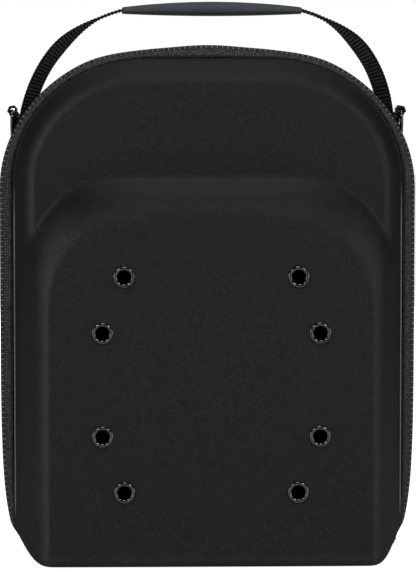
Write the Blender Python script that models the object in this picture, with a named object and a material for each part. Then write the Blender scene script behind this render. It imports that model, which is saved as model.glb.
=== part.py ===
"""Hard-shell carrier case for baseball caps: two moulded shells joined by a zip, with a carrying
handle and two D-rings. Metres, +Z up, +X to the right, the front faces -Y.

The case stands closed on its flat bottom. The origin is under the middle of its outer box.
Each shell is a depth field over the rim's outline: how far the wall stands off the rim plane.
"""
from math import atan, cos, pi, radians, sin

import bmesh
import bpy
import numpy as np
from mathutils import Matrix, Vector

# Rim outline of both shells
RIM_HALF_WIDTH = 0.1362
RIM_HEIGHT = 0.3472
SHOULDER_WIDTH = 0.092
SHOULDER_HEIGHT = 0.084
LOWER_CORNER = 0.022

# Shell walls
WALL = 0.003
TRAY_DEPTH = 0.040
TRAY_SLOPE = 3.5
TRAY_ROUNDING = 0.018
BAY_DEPTH = 0.085
BAY_SLOPE = 4.3
BAY_ROUNDING = 0.034
BAY_HEIGHT = 0.276
BAY_SHOULDER_WIDTH = 0.0666
BAY_SHOULDER_HEIGHT = 0.0631
BAY_SHOULDER_EASE = 0.0104
BAY_EASE_INSET = 0.024
BAY_TOP_SLOPE = 3.46
BAY_TOP_ROUNDING = 0.045
BAY_TOP_SHIFT = 0.0023
BAY_TOP_SPREAD = 6
CREASE = 0.005
CREASE_SHARE = 0.25
BACK_DEPTH = 0.060
BACK_SLOPE = 2.6
BACK_ROUNDING = 0.036
FACE_CROWN = 0.002
BOTTOM_EDGE = 0.012

# Zip band: two tapes that rise to the teeth, the chain of teeth, and the hinge along the bottom
BAND_WIDTH = 0.022
SIDE_RISE = 0.0096
TOP_RISE = 0.0092
CREST_SHOULDER_WIDER = 0.022
CREST_SHOULDER_TALLER = 0.016
RISE_START = 0.009
RISE_LENGTH = 0.028
CREST_BOW = 0.0026
CREST_BOW_REACH = 0.092
ZIP_END_ANGLE = radians(-60)
TAPE_THICKNESS = 0.0012
TAPE_INSET = 0.0006
TAPE_SWELL = 0.6
FLANGE = 0.0026
TEETH_WIDTH = 0.0048
TEETH_THICKNESS = 0.0024
TEETH_PROUD = 0.0008
TEETH_TOP_SHARE = 0.7
HINGE_THICKNESS = 0.002
HINGE_RECESS = 0.0012

# Zip slider, parked round the right lower corner
SLIDER_ANGLE = radians(-45)
SLIDER_WIDTH = 0.009
SLIDER_LENGTH = 0.007
SLIDER_THICKNESS = 0.0025
BRIDGE_SHARE = 0.6
PULL_LENGTH = 0.0155
PULL_THICKNESS = 0.0014

# Eyelets in the front face
EYELET_HOLE = 0.0094
EYELET_FLANGE = 0.0148
EYELET_PROUD = 0.0014
EYELET_TUBE_WALL = 0.0008
FLANGE_CHAMFER, HOLE_CHAMFER = 0.0012, 0.0009
EYELET_MIDDLE = 0.1269
EYELET_OUTER_X = 0.0742
EYELET_OUTER_Z = 0.0354
EYELET_INNER_X = 0.0594
EYELET_INNER_Z = 0.0738

# Handle: webbing from one shoulder to the other, through a soft grip
STRAP_WIDTH = 0.025
STRAP_THICKNESS = 0.002
STRAP_BEHIND_RIM = 0.0015
SEWN_LOW = 0.266
SEWN_LENGTH = 0.017
SEWN_LEAN = 0.001
SEWN_PULL = 0.0872
GRIP_LENGTH = 0.130
GRIP_ABOVE_RIM = 0.0346
GRIP_HEIGHT = RIM_HEIGHT + GRIP_ABOVE_RIM
GRIP_BOW = 0.0012
GRIP_PULL = 0.003
GRIP_DROOP = 0.0018
GRIP_WIDTH = 0.034
GRIP_THICKNESS = 0.0102
GRIP_END_THICKNESS = 0.0048
GRIP_SHORTER = 0.001
GRIP_SQUARENESS = 0.7
HANDLE_LEAN = 0.0035
TWIST_START, TWIST_SPAN = 0.38, 0.36

# D-rings, each in a loop of webbing
RING_OUT = 0.0022
RING_BAR_HEIGHT = 0.311
RING_WIRE = 0.0025
RING_INNER_WIDTH = 0.0224
RING_DROP = 0.0193
BAR_SHORTER, BOW_LOWER = 0.0021, 0.003
BOW_FULLNESS = 0.8
TAB_WIDTH = 0.020
TAB_THICKNESS = 0.0017
TAB_START = 0.002
TAB_LEAVES = 0.0095
LOOP_START, LOOP_END = radians(195), radians(-45)

# Gaps between pieces
GAP = 0.0003
RING_PLAY = 0.0004

# Mesh density
BOTTOM_STEPS, CORNER_STEPS, SIDE_STEPS, SHOULDER_STEPS, TOP_STEPS = 3, 5, 8, 9, 3
SIDE_CROWDING = 1.6
FRONT_ROWS, BACK_ROWS = 20, 9
PROFILE_SAMPLES = 400
TURN_WEIGHT = 0.045
EYELET_SIDES = 12
FREE_STEPS, HELD_STEPS = 28, 5
LOOP_STEPS, RISE_STEPS, BACK_STEPS = 12, 6, 4
BOW_STEPS, WIRE_SIDES = 16, 8
SPINE_LOW, SPINE_HIGH = 0.32, 0.62

COLOURS = {
    "shell_fabric": ((0.0185, 0.0185, 0.0195), 0.85, 0.0),
    "zip_tape": ((0.022, 0.023, 0.022), 0.8, 0.0),
    "zip_teeth": ((0.035, 0.035, 0.035), 0.45, 0.0),
    "webbing": ((0.014, 0.014, 0.014), 0.75, 0.0),
    "grip_fabric": ((0.052, 0.056, 0.062), 0.8, 0.0),
    "black_metal": ((0.012, 0.012, 0.013), 0.2, 1.0),
}


# Outlines

def ellipse_arc(centre, radii, start, end, steps):
    """Points centre + (radius_x cos a, radius_z sin a) for the angle a from start to end."""
    angle = np.linspace(start, end, steps + 1)
    return np.stack([centre[0] + radii[0] * np.cos(angle), centre[1] + radii[1] * np.sin(angle)], 1)


def straight(start, end, steps, crowding=1):
    """Points from start to end, evenly spaced or crowded towards the end."""
    share = 1 - (1 - np.linspace(0, 1, steps + 1)[:, None]) ** crowding
    return np.array(start) * (1 - share) + np.array(end) * share


def rim_side(first_angle=None):
    """Right half of the rim, from the middle of the bottom, or from an angle of the lower corner,
    up the side and over the shoulder to the middle of the top."""
    low = (RIM_HALF_WIDTH - LOWER_CORNER, LOWER_CORNER)
    high = (RIM_HALF_WIDTH - SHOULDER_WIDTH, RIM_HEIGHT - SHOULDER_HEIGHT)
    stretches = []
    if first_angle is None:
        stretches.append(straight((0, 0), (low[0], 0), BOTTOM_STEPS))
    start = -pi / 2 if first_angle is None else first_angle
    stretches.append(ellipse_arc(low, (LOWER_CORNER, LOWER_CORNER), start, 0, CORNER_STEPS))
    stretches.append(straight((RIM_HALF_WIDTH, low[1]), (RIM_HALF_WIDTH, high[1]), SIDE_STEPS,
                              SIDE_CROWDING))
    stretches.append(ellipse_arc(high, (SHOULDER_WIDTH, SHOULDER_HEIGHT), 0, pi / 2, SHOULDER_STEPS))
    stretches.append(straight((high[0], RIM_HEIGHT), (0, RIM_HEIGHT), TOP_STEPS))
    return np.concatenate([stretches[0]] + [stretch[1:] for stretch in stretches[1:]])


def crest_side(first_angle):
    """The line of the zip teeth, point for point beside rim_side: it rises out of the lower corner
    by 1 - exp(-height), its shoulder is a wider ellipse than the rim's, and its top sags slightly to
    both sides of the middle by sin^2."""
    rim = rim_side(first_angle)
    half_width = RIM_HALF_WIDTH + SIDE_RISE
    radii = (SHOULDER_WIDTH + CREST_SHOULDER_WIDER, SHOULDER_HEIGHT + CREST_SHOULDER_TALLER)
    centre = (half_width - radii[0], RIM_HEIGHT + TOP_RISE - radii[1])
    upper = np.concatenate([
        ellipse_arc(centre, radii, 0, pi / 2, SHOULDER_STEPS)[1:],
        straight((centre[0], RIM_HEIGHT + TOP_RISE), (0, RIM_HEIGHT + TOP_RISE), TOP_STEPS)[1:]])
    bow = np.sin(pi * np.clip(upper[:, 0] / CREST_BOW_REACH, 0, 1)) ** 2
    upper[:, 1] -= CREST_BOW * bow
    lower = rim[:len(rim) - len(upper)].copy()
    lower[:, 1] *= centre[1] / (RIM_HEIGHT - SHOULDER_HEIGHT)
    above = np.maximum(lower[:, 1] - RISE_START, 0)
    lower[:, 0] += SIDE_RISE * (1 - np.exp(-above / RISE_LENGTH))
    return np.concatenate([lower, upper])


def both_sides(half, closed=True):
    """A whole outline from its right half: right side up, then the mirrored left side down."""
    left = half[-2::-1] * [-1, 1]
    return np.concatenate([half, left[:-1] if closed else left])


def outward(path, closed=False):
    """Unit normals of a path that runs counter-clockwise, pointing away from its inside."""
    if closed:
        along = np.roll(path, -1, 0) - np.roll(path, 1, 0)
    else:
        along = np.gradient(path, axis=0, edge_order=2)
    normal = np.stack([along[:, 1], -along[:, 0]], 1)
    return normal / np.linalg.norm(normal, axis=1)[:, None]


# Depth fields

def smooth_min(first, second, blend):
    """The lesser of two values, rounded over the width blend where they cross."""
    near = np.clip(1 - np.abs(first - second) / np.maximum(blend, 1e-9), 0, 1)
    return np.minimum(first, second) - blend * near * near / 4


def inset_of(x, z, half_width, height, corner_width, corner_height):
    """Distance inward from an outline with straight sides, a straight top and elliptical corners."""
    x = np.abs(x)
    across = x - (half_width - corner_width)
    up = z - (height - corner_height)
    reach = np.hypot(across, up)
    ratio = np.hypot(across / corner_width, up / corner_height)
    in_corner = reach * (1 / np.maximum(ratio, 1e-9) - 1)
    in_straight = np.minimum(half_width - x, height - z)
    return np.where((across > 0) & (up > 0), in_corner, in_straight)


def crowned(x, z, depth, height):
    """Depth of a face that bulges slightly towards its middle."""
    middle = height / 2
    return depth - FACE_CROWN * ((x / RIM_HALF_WIDTH) ** 2 + ((z - middle) / middle) ** 2) / 2


def shoulder_ease(inset):
    """How much wider and taller the bay's shoulders are at an inset than at its foot."""
    return BAY_SHOULDER_EASE * np.clip(inset / BAY_EASE_INSET, 0, 1) ** 2


def bay_inset(x, z):
    """Distance inward from the bay's foot. The bay's shoulders grow rounder as they rise, so the
    outline that a point lies on is found by repeated correction."""
    inset = np.zeros_like(x)
    for _ in range(8):
        ease = shoulder_ease(inset)
        inset = inset + inset_of(x, z, RIM_HALF_WIDTH - inset, BAY_HEIGHT - inset,
                                 BAY_SHOULDER_WIDTH + ease, BAY_SHOULDER_HEIGHT + ease)
    return inset


def faces_up(x, z, inset):
    """How far the bay's wall faces up: 1 along its top, falling round the shoulders to 0."""
    width = BAY_SHOULDER_WIDTH + shoulder_ease(inset)
    height = BAY_SHOULDER_HEIGHT + shoulder_ease(inset)
    across = np.maximum(np.abs(x) - (RIM_HALF_WIDTH - inset - width), 0) / width ** 2
    up = np.maximum(z - (BAY_HEIGHT - inset - height), 0) / height ** 2
    return (up / np.maximum(np.hypot(across, up), 1e-9)) ** BAY_TOP_SPREAD


def bay_depth(x, z):
    """Depth of the raised bay: its sides are steep, and its top is a gentler, rounder ramp."""
    inset = bay_inset(x, z)
    top = faces_up(x, z, inset)
    slope = BAY_SLOPE + (BAY_TOP_SLOPE - BAY_SLOPE) * top
    rounding = BAY_ROUNDING + (BAY_TOP_ROUNDING - BAY_ROUNDING) * top
    return smooth_min(slope * (inset + BAY_TOP_SHIFT * top), crowned(x, z, BAY_DEPTH, BAY_HEIGHT), rounding)


def round_lower_edge(x, z, depth):
    """Takes the rounded edge off along the flat bottom and round the lower corners."""
    across = np.maximum(np.abs(x) - (RIM_HALF_WIDTH - LOWER_CORNER), 0)
    down = np.maximum(LOWER_CORNER - z, 0)
    reach = np.maximum(np.hypot(across, down), 1e-9)
    steepness = np.maximum(down / reach, 1e-3) ** 2
    from_edge = np.maximum(LOWER_CORNER - reach, 0) / steepness
    radius = np.minimum(BOTTOM_EDGE, depth / 2)
    share = np.clip(1 - from_edge / np.maximum(radius, 1e-9), 0, 1)
    return depth - radius * (1 - np.sqrt(1 - share ** 2))


def front_depth(x, z):
    """Depth of the front shell: the greater of the upper tray and the raised bay, with a small
    fillet where they meet."""
    tray = smooth_min(
        TRAY_SLOPE * inset_of(x, z, RIM_HALF_WIDTH, RIM_HEIGHT, SHOULDER_WIDTH, SHOULDER_HEIGHT),
        crowned(x, z, TRAY_DEPTH, RIM_HEIGHT), TRAY_ROUNDING)
    bay = bay_depth(x, z)
    blend = np.minimum(CREASE, CREASE_SHARE * np.maximum(np.maximum(tray, bay), 0))
    depth = -smooth_min(-tray, -bay, blend)
    return round_lower_edge(x, z, np.maximum(depth, 0))


def back_depth(x, z):
    """Depth of the back shell: one dome over the whole rim."""
    inset = inset_of(x, z, RIM_HALF_WIDTH, RIM_HEIGHT, SHOULDER_WIDTH, SHOULDER_HEIGHT)
    dome = smooth_min(BACK_SLOPE * inset, crowned(x, z, BACK_DEPTH, RIM_HEIGHT), BACK_ROUNDING)
    return round_lower_edge(x, z, np.maximum(dome, 0))


def depth_at(x, z):
    """Depth of the front shell at one point."""
    return float(front_depth(np.array(x), np.array(z)))


EYELETS = [(side * across, EYELET_MIDDLE + up)
           for across, up in ((EYELET_INNER_X, EYELET_INNER_Z), (EYELET_OUTER_X, EYELET_OUTER_Z),
                              (EYELET_OUTER_X, -EYELET_OUTER_Z), (EYELET_INNER_X, -EYELET_INNER_Z))
           for side in (-1, 1)]
EYELET_DEPTH = max(depth_at(x, z) for x, z in EYELETS)
FRONT_REACH = max(BAY_DEPTH, EYELET_DEPTH + GAP + EYELET_PROUD)
ZIP_Y = (FRONT_REACH - BACK_DEPTH) / 2
FRONT_RIM_Y = ZIP_Y - BAND_WIDTH / 2
BACK_RIM_Y = ZIP_Y + BAND_WIDTH / 2
STRAP_Y = BACK_RIM_Y + STRAP_BEHIND_RIM + STRAP_WIDTH / 2


# Meshes

def add_object(name, slot, vertices, faces, smooth_angle=40):
    """A mesh object with its own material and outward faces."""
    mesh = bpy.data.meshes.new(name)
    mesh.from_pydata([tuple(map(float, v)) for v in vertices], [], faces)
    work = bmesh.new()
    work.from_mesh(mesh)
    bmesh.ops.remove_doubles(work, verts=work.verts, dist=1e-6)
    bmesh.ops.dissolve_degenerate(work, edges=work.edges, dist=1e-7)
    bmesh.ops.recalc_face_normals(work, faces=work.faces)
    work.to_mesh(mesh)
    work.free()
    mesh.shade_smooth()
    mesh.set_sharp_from_angle(angle=radians(smooth_angle))
    colour, roughness, metallic = COLOURS[slot]
    material = bpy.data.materials.new(name)
    material.use_nodes = True
    shader = material.node_tree.nodes["Principled BSDF"]
    shader.inputs["Base Color"].default_value = (*colour, 1)
    shader.inputs["Roughness"].default_value = roughness
    shader.inputs["Metallic"].default_value = metallic
    material.diffuse_color = (*colour, 1)
    mesh.materials.append(material)
    result = bpy.data.objects.new(name, mesh)
    bpy.context.scene.collection.objects.link(result)
    return result


def grid_faces(rows, columns, wrap_rows=False, wrap_columns=False, first=0):
    """Quads of a grid whose points are numbered row by row."""
    return [(first + r * columns + c, first + r * columns + (c + 1) % columns,
             first + (r + 1) % rows * columns + (c + 1) % columns, first + (r + 1) % rows * columns + c)
            for r in range(rows - (not wrap_rows)) for c in range(columns - (not wrap_columns))]


def swept(name, slot, sections, closed=False):
    """A solid from equal closed sections, shape (stations, points, 3), with flat ends if open."""
    stations, points = sections.shape[:2]
    faces = grid_faces(stations, points, closed, True)
    if not closed:
        faces.append(tuple(range(points)))
        faces.append(tuple((stations - 1) * points + i for i in range(points)))
    return add_object(name, slot, sections.reshape(-1, 3), faces)


def shell_surface(depth_of, rows):
    """Points of a shell's outside over the rim, in (x, z, depth), row by row from the rim to the
    spine, a short upright line in the middle. Along each ray the rows are evenly spaced in length
    plus turning, so they gather at walls, edges and creases."""
    rim = both_sides(rim_side())
    spine = np.stack([np.zeros(len(rim)),
                      np.clip(rim[:, 1], SPINE_LOW * RIM_HEIGHT, SPINE_HIGH * RIM_HEIGHT)], 1)
    share = np.linspace(0, 1, PROFILE_SAMPLES)[None, :, None] ** 1.5
    plan = rim[:, None] * (1 - share) + spine[:, None] * share
    depth = depth_of(plan[..., 0], plan[..., 1])
    rise = np.linspace(0, 1, PROFILE_SAMPLES // 8, endpoint=False)
    foot = np.concatenate([np.repeat(rim[:, None], len(rise), 1), depth[:, :1, None] * rise[:, None]], 2)
    profile = np.concatenate([foot, np.concatenate([plan, depth[..., None]], 2)], 1)
    step = np.diff(profile, axis=1)
    length = np.linalg.norm(step, axis=2)
    direction = step / np.maximum(length, 1e-9)[..., None]
    cosine = np.clip((direction[:, 1:] * direction[:, :-1]).sum(2), -1, 1)
    moving = (length[:, 1:] > 1e-8) & (length[:, :-1] > 1e-8)
    turning = np.where(moving, np.arccos(cosine), 0)
    measure = np.zeros(profile.shape[:2])
    measure[:, 1:] = np.cumsum(length, 1)
    measure[:, 2:] += TURN_WEIGHT * np.cumsum(turning, 1)
    result = np.empty((rows + 1, len(rim), 3))
    for i in range(len(rim)):
        at = np.linspace(0, measure[i, -1], rows + 1)
        result[:, i] = np.stack([np.interp(at, measure[i], profile[i, :, k]) for k in range(3)], 1)
    return result


def inner_surface(outer):
    """The outside moved in by the wall's thickness along its normals, with its rim in the plane."""
    along = np.roll(outer, -1, 1) - np.roll(outer, 1, 1)
    inward = np.gradient(outer, axis=0)
    normal = np.cross(along, inward)
    normal /= np.maximum(np.linalg.norm(normal, axis=2), 1e-12)[..., None]
    normal *= np.sign(normal[-2, :, 2].mean())
    normal[-1] = (0, 0, 1)
    inner = outer - WALL * normal
    rim = both_sides(rim_side())
    inner[0, :, :2] = rim - WALL * outward(rim, closed=True)
    inner[0, :, 2] = 0
    inner[1:, :, 2] = np.maximum(inner[1:, :, 2], 0.001)
    return inner


def moulded_shell(name, depth_of, rows, rim_y, facing):
    """A hollow shell that stands off the plane y = rim_y, towards -Y or +Y as facing says."""
    outer = shell_surface(depth_of, rows)
    layers = [outer, inner_surface(outer)]
    points = np.concatenate([layer.reshape(-1, 3) for layer in layers])
    vertices = np.stack([points[:, 0], rim_y + facing * points[:, 2], points[:, 1]], 1)
    count = outer.shape[1]
    faces = grid_faces(rows + 1, count, wrap_columns=True)
    faces += grid_faces(rows + 1, count, wrap_columns=True, first=len(points) // 2)
    half = len(points) // 2
    faces += [(i, (i + 1) % count, half + (i + 1) % count, half + i) for i in range(count)]
    return add_object(name, "shell_fabric", vertices, faces)


def band_sections(profile, first_angle):
    """Sections of a strip that runs round the zip line. Each row of the profile is the share of the
    way from rim to crest, the distance outward from there, and y."""
    rim = both_sides(rim_side(first_angle), closed=False)
    crest = both_sides(crest_side(first_angle), closed=False)
    normal = outward(rim)
    sections = []
    for share, out, y in profile:
        line = rim * (1 - share) + crest * share + normal * out
        sections.append(np.stack([line[:, 0], np.full(len(line), y), line[:, 1]], 1))
    return np.stack(sections, 1)


def zip_tape(name, side):
    """A tape that is sewn behind a shell's rim and rises in a shallow curve to the teeth."""
    root = ZIP_Y + side * (BAND_WIDTH / 2 - GAP)
    edge = ZIP_Y + side * (TEETH_WIDTH / 2 + GAP)
    middle = (root + edge) / 2
    inside = -TAPE_INSET - TAPE_THICKNESS
    profile = [(0, -TAPE_INSET, root), (TAPE_SWELL, -TAPE_INSET, middle), (1, -TAPE_INSET, edge),
               (1, inside, edge), (TAPE_SWELL, inside, middle), (0, inside, root - side * TAPE_THICKNESS),
               (0, -TAPE_INSET - FLANGE, root - side * TAPE_THICKNESS),
               (0, -TAPE_INSET - FLANGE, root)]
    return swept(name, "zip_tape", band_sections(profile, ZIP_END_ANGLE))


def zipper_chain():
    """The closed row of teeth, one strip between the tapes."""
    low, high = TEETH_PROUD - TEETH_THICKNESS, TEETH_PROUD
    half = TEETH_WIDTH / 2
    profile = [(1, low, ZIP_Y - half), (1, high, ZIP_Y - half * TEETH_TOP_SHARE),
               (1, high, ZIP_Y + half * TEETH_TOP_SHARE), (1, low, ZIP_Y + half)]
    return swept("zipper_chain", "zip_teeth", band_sections(profile, ZIP_END_ANGLE))


def hinge_strip():
    """The fabric hinge along the bottom, from one end of the zip round to the other."""
    low = (RIM_HALF_WIDTH - LOWER_CORNER, LOWER_CORNER)
    end = ZIP_END_ANGLE - GAP / LOWER_CORNER
    right = np.concatenate([straight((0, 0), (low[0], 0), BOTTOM_STEPS),
                            ellipse_arc(low, (LOWER_CORNER, LOWER_CORNER), -pi / 2, end, 2)[1:]])
    path = np.concatenate([right[:0:-1] * [-1, 1], right])
    normal = outward(path)
    half = BAND_WIDTH / 2 - GAP
    sections = []
    for out, y in ((-HINGE_RECESS, ZIP_Y - half), (-HINGE_RECESS, ZIP_Y + half),
                   (-HINGE_RECESS - HINGE_THICKNESS, ZIP_Y + half),
                   (-HINGE_RECESS - HINGE_THICKNESS, ZIP_Y - half)):
        line = path + normal * out
        sections.append(np.stack([line[:, 0], np.full(len(line), y), line[:, 1]], 1))
    return swept("hinge_strip", "shell_fabric", np.stack(sections, 1))


def zip_slider():
    """A block over the teeth with its flat pull folded back over the rear tape."""
    away = np.array([cos(SLIDER_ANGLE), 0, sin(SLIDER_ANGLE)])
    along = np.array([-sin(SLIDER_ANGLE), 0, cos(SLIDER_ANGLE)])
    centre = np.array([RIM_HALF_WIDTH - LOWER_CORNER, ZIP_Y, LOWER_CORNER]) + away * LOWER_CORNER
    half = SLIDER_WIDTH / 2
    bridge = half * BRIDGE_SHARE
    low = TEETH_PROUD + GAP
    top = low + SLIDER_THICKNESS
    outline = [(-half, low), (half, low), (half, top), (half + PULL_LENGTH, top),
               (half + PULL_LENGTH, top + PULL_THICKNESS), (-bridge, top + PULL_THICKNESS), (-half, top)]
    sections = [[centre + along * end + away * out + np.array([0, y, 0]) for y, out in outline]
                for end in (-SLIDER_LENGTH / 2, SLIDER_LENGTH / 2)]
    return swept("zip_slider", "black_metal", np.array(sections))


# Eyelets

def eyelet_frame(x, z):
    """Place and turn of an eyelet: its axis is the face's normal there."""
    step = 0.001
    slope_x = (depth_at(x + step, z) - depth_at(x - step, z)) / (2 * step)
    slope_z = (depth_at(x, z + step) - depth_at(x, z - step)) / (2 * step)
    axis = Vector((-slope_x, -1, -slope_z)).normalized()
    place = Vector((x, FRONT_RIM_Y - depth_at(x, z), z))
    return Matrix.Translation(place) @ axis.to_track_quat("Z", "X").to_matrix().to_4x4()


def turned(name, slot, profile, sides, frame):
    """A ring turned from a closed profile of (radius, height), placed by a frame."""
    angle = np.arange(sides) * 2 * pi / sides
    radius, height = np.array(profile).T
    sections = np.stack([radius[None] * np.cos(angle)[:, None], radius[None] * np.sin(angle)[:, None],
                         np.repeat(height[None], sides, 0)], 2)
    place = np.array(frame)
    return swept(name, slot, sections @ place[:3, :3].T + place[:3, 3], closed=True)


def add_eyelets(shell):
    """Cuts the vent holes in the front shell and sets a metal eyelet in each."""
    hole = EYELET_HOLE / 2
    tube = hole + EYELET_TUBE_WALL
    flange = EYELET_FLANGE / 2
    profile = [(hole, -WALL), (tube, -WALL), (tube, GAP), (flange, GAP),
               (flange - FLANGE_CHAMFER, GAP + EYELET_PROUD), (hole + HOLE_CHAMFER, GAP + EYELET_PROUD)]
    for number, (x, z) in enumerate(EYELETS, 1):
        frame = eyelet_frame(x, z)
        bpy.ops.mesh.primitive_cylinder_add(vertices=EYELET_SIDES, radius=tube + GAP, depth=WALL * 6)
        cutter = bpy.context.object
        cutter.name = f"cutter_{number}"
        cutter.matrix_world = frame
        cutter.hide_render = True
        cutter.display_type = "WIRE"
        cut = shell.modifiers.new(f"vent_{number}", "BOOLEAN")
        cut.object = cutter
        cut.operation = "DIFFERENCE"
        cut.solver = "EXACT"
        turned(f"eyelet_{number}", "black_metal", profile, EYELET_SIDES, frame)


# Handle and rings

def wall_tilt():
    """Angle of the back shell's side wall to the Y axis."""
    return atan(1 / BACK_SLOPE)


def back_wall_line(heights):
    """Where the back shell's side wall is, at the middle of the strap's width, at some heights."""
    behind = STRAP_Y - BACK_RIM_Y
    up = np.clip((heights - (RIM_HEIGHT - SHOULDER_HEIGHT)) / SHOULDER_HEIGHT, 0, 1)
    rim = RIM_HALF_WIDTH - SHOULDER_WIDTH + SHOULDER_WIDTH * np.sqrt(1 - up ** 2)
    line = np.stack([rim, heights], 1)
    return line - outward(line) * behind / BACK_SLOPE


def bezier(points, steps):
    """A cubic curve through its first and last of four points."""
    t = np.linspace(0, 1, steps + 1)[:, None]
    a, b, c, d = (np.array(p) for p in points)
    return a * (1 - t) ** 3 + 3 * b * t * (1 - t) ** 2 + 3 * c * t ** 2 * (1 - t) + d * t ** 3


def strap_side():
    """Right half of the handle's line from the sewn end to the middle of the grip, with its twist:
    the strap lies on the sloping wall at the end and stands square in the grip."""
    tilt = wall_tilt()
    sewn = back_wall_line(np.linspace(SEWN_LOW, SEWN_LOW + SEWN_LENGTH, 5))
    sewn = sewn + outward(sewn) * (GAP + STRAP_THICKNESS / 2) / cos(tilt)
    start, grip_end = sewn[-1], np.array([GRIP_LENGTH / 2, GRIP_HEIGHT])
    free = bezier([start, start + [SEWN_LEAN, SEWN_PULL], grip_end + [GRIP_PULL, -GRIP_DROOP], grip_end],
                  FREE_STEPS)
    across = np.linspace(GRIP_LENGTH / 2, 0, HELD_STEPS)
    held = np.stack([across, GRIP_HEIGHT + GRIP_BOW * (1 - (2 * across / GRIP_LENGTH) ** 2)], 1)
    line = np.concatenate([sewn, free[1:], held[1:]])
    share = np.concatenate([np.zeros(len(sewn)), np.linspace(0, 1, len(free))[1:], np.ones(len(held) - 1)])
    turned_back = np.clip((share - TWIST_START) / TWIST_SPAN, 0, 1)
    return line, tilt * (1 - turned_back ** 2 * (3 - 2 * turned_back))


def ribbon(name, line, twist, width, thickness, middle_y, outward_normal):
    """Flat webbing along a line in the XZ plane, turned about the line by its twist."""
    normal = np.stack([outward_normal[:, 0], np.zeros(len(line)), outward_normal[:, 1]], 1)
    y_axis = np.array([0, 1, 0])
    wide = np.cos(twist)[:, None] * y_axis - np.sin(twist)[:, None] * normal
    thick = np.cos(twist)[:, None] * normal + np.sin(twist)[:, None] * y_axis
    centre = np.stack([line[:, 0], np.full(len(line), middle_y), line[:, 1]], 1)
    corners = [centre + wide * width / 2 * a + thick * thickness / 2 * b
               for a, b in ((-1, -1), (1, -1), (1, 1), (-1, 1))]
    return swept(name, "webbing", np.stack(corners, 1))


def lean(line):
    """The handle's middle stands slightly to the right of its ends."""
    share = np.clip((line[:, 1] - RING_BAR_HEIGHT) / (GRIP_HEIGHT - RING_BAR_HEIGHT), 0, 1)
    return line + np.stack([HANDLE_LEAN * share, np.zeros(len(line))], 1)


def handle_strap():
    """The whole strap, from the right shoulder over to the left."""
    half, twist = strap_side()
    line = lean(both_sides(half, closed=False))
    return ribbon("handle_strap", line, np.concatenate([twist, twist[-2::-1]]), STRAP_WIDTH,
                  STRAP_THICKNESS, STRAP_Y, outward(line))


def handle_grip():
    """A soft sleeve, thick in its middle, with a slot that the strap passes through."""
    angle = np.radians([0, 45, 70, 90, 110, 135, 180, 225, 250, 270, 290, 315])
    stations, points = 13, len(angle)
    x = np.linspace(-1, 1, stations) * (GRIP_LENGTH / 2 - GRIP_SHORTER)
    share = 2 * x / GRIP_LENGTH
    thick = GRIP_END_THICKNESS + (GRIP_THICKNESS - GRIP_END_THICKNESS) * (1 - share ** 2)
    middle = GRIP_HEIGHT + GRIP_BOW * (1 - share ** 2)
    round_y = np.sign(np.cos(angle)) * np.abs(np.cos(angle)) ** GRIP_SQUARENESS
    round_z = np.sign(np.sin(angle)) * np.abs(np.sin(angle)) ** GRIP_SQUARENESS
    peak = np.maximum(np.abs(np.cos(angle)), np.abs(np.sin(angle)))
    slot_y = np.cos(angle) / peak * (STRAP_WIDTH / 2 + GAP)
    slot_z = np.sin(angle) / peak * (STRAP_THICKNESS / 2 + GAP)
    outer = np.stack([np.repeat(x[:, None], points, 1), STRAP_Y + np.repeat(round_y[None], stations, 0)
                      * GRIP_WIDTH / 2, middle[:, None] + round_z[None] * thick[:, None] / 2], 2)
    inner = np.stack([outer[..., 0], STRAP_Y + np.repeat(slot_y[None], stations, 0),
                      middle[:, None] + np.repeat(slot_z[None], stations, 0)], 2)
    vertices = np.concatenate([outer.reshape(-1, 3), inner.reshape(-1, 3)]) + [HANDLE_LEAN, 0, 0]
    half = stations * points
    faces = grid_faces(stations, points, wrap_columns=True)
    faces += grid_faces(stations, points, wrap_columns=True, first=half)
    for row in (0, stations - 1):
        faces += [(row * points + i, row * points + (i + 1) % points,
                   half + row * points + (i + 1) % points, half + row * points + i) for i in range(points)]
    return add_object("handle_grip", "grip_fabric", vertices, faces)


def ring_bar(side):
    """Centre of a ring's straight bar, which is also its hinge axis, along Y."""
    return np.array([side * (RIM_HALF_WIDTH + RING_OUT), RING_BAR_HEIGHT])


def d_ring(name, side):
    """A D of round wire: a straight bar along Y, with a round bow that hangs below it."""
    half = RING_INNER_WIDTH / 2 + RING_WIRE / 2
    bar = straight((-half + BAR_SHORTER, 0), (half - BAR_SHORTER, 0), 5)
    angle = np.linspace(0, pi, BOW_STEPS)
    hang = BOW_LOWER + (RING_DROP - BOW_LOWER) * np.sin(angle) ** BOW_FULLNESS
    bow = np.stack([half * np.cos(angle), -hang], 1)
    path = np.concatenate([bar, bow])
    along = np.roll(path, -1, 0) - np.roll(path, 1, 0)
    along /= np.linalg.norm(along, axis=1)[:, None]
    normal = np.stack([along[:, 1], -along[:, 0]], 1)
    turn = np.arange(WIRE_SIDES) * 2 * pi / WIRE_SIDES
    radius = RING_WIRE / 2
    centre = ring_bar(side)
    sections = np.stack([
        np.repeat(centre[0] + radius * np.sin(turn)[None], len(path), 0),
        STRAP_Y + path[:, :1] + normal[:, :1] * radius * np.cos(turn)[None],
        centre[1] + path[:, 1:] + normal[:, 1:] * radius * np.cos(turn)[None]], 2)
    return swept(name, "black_metal", sections, closed=True)


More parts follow.
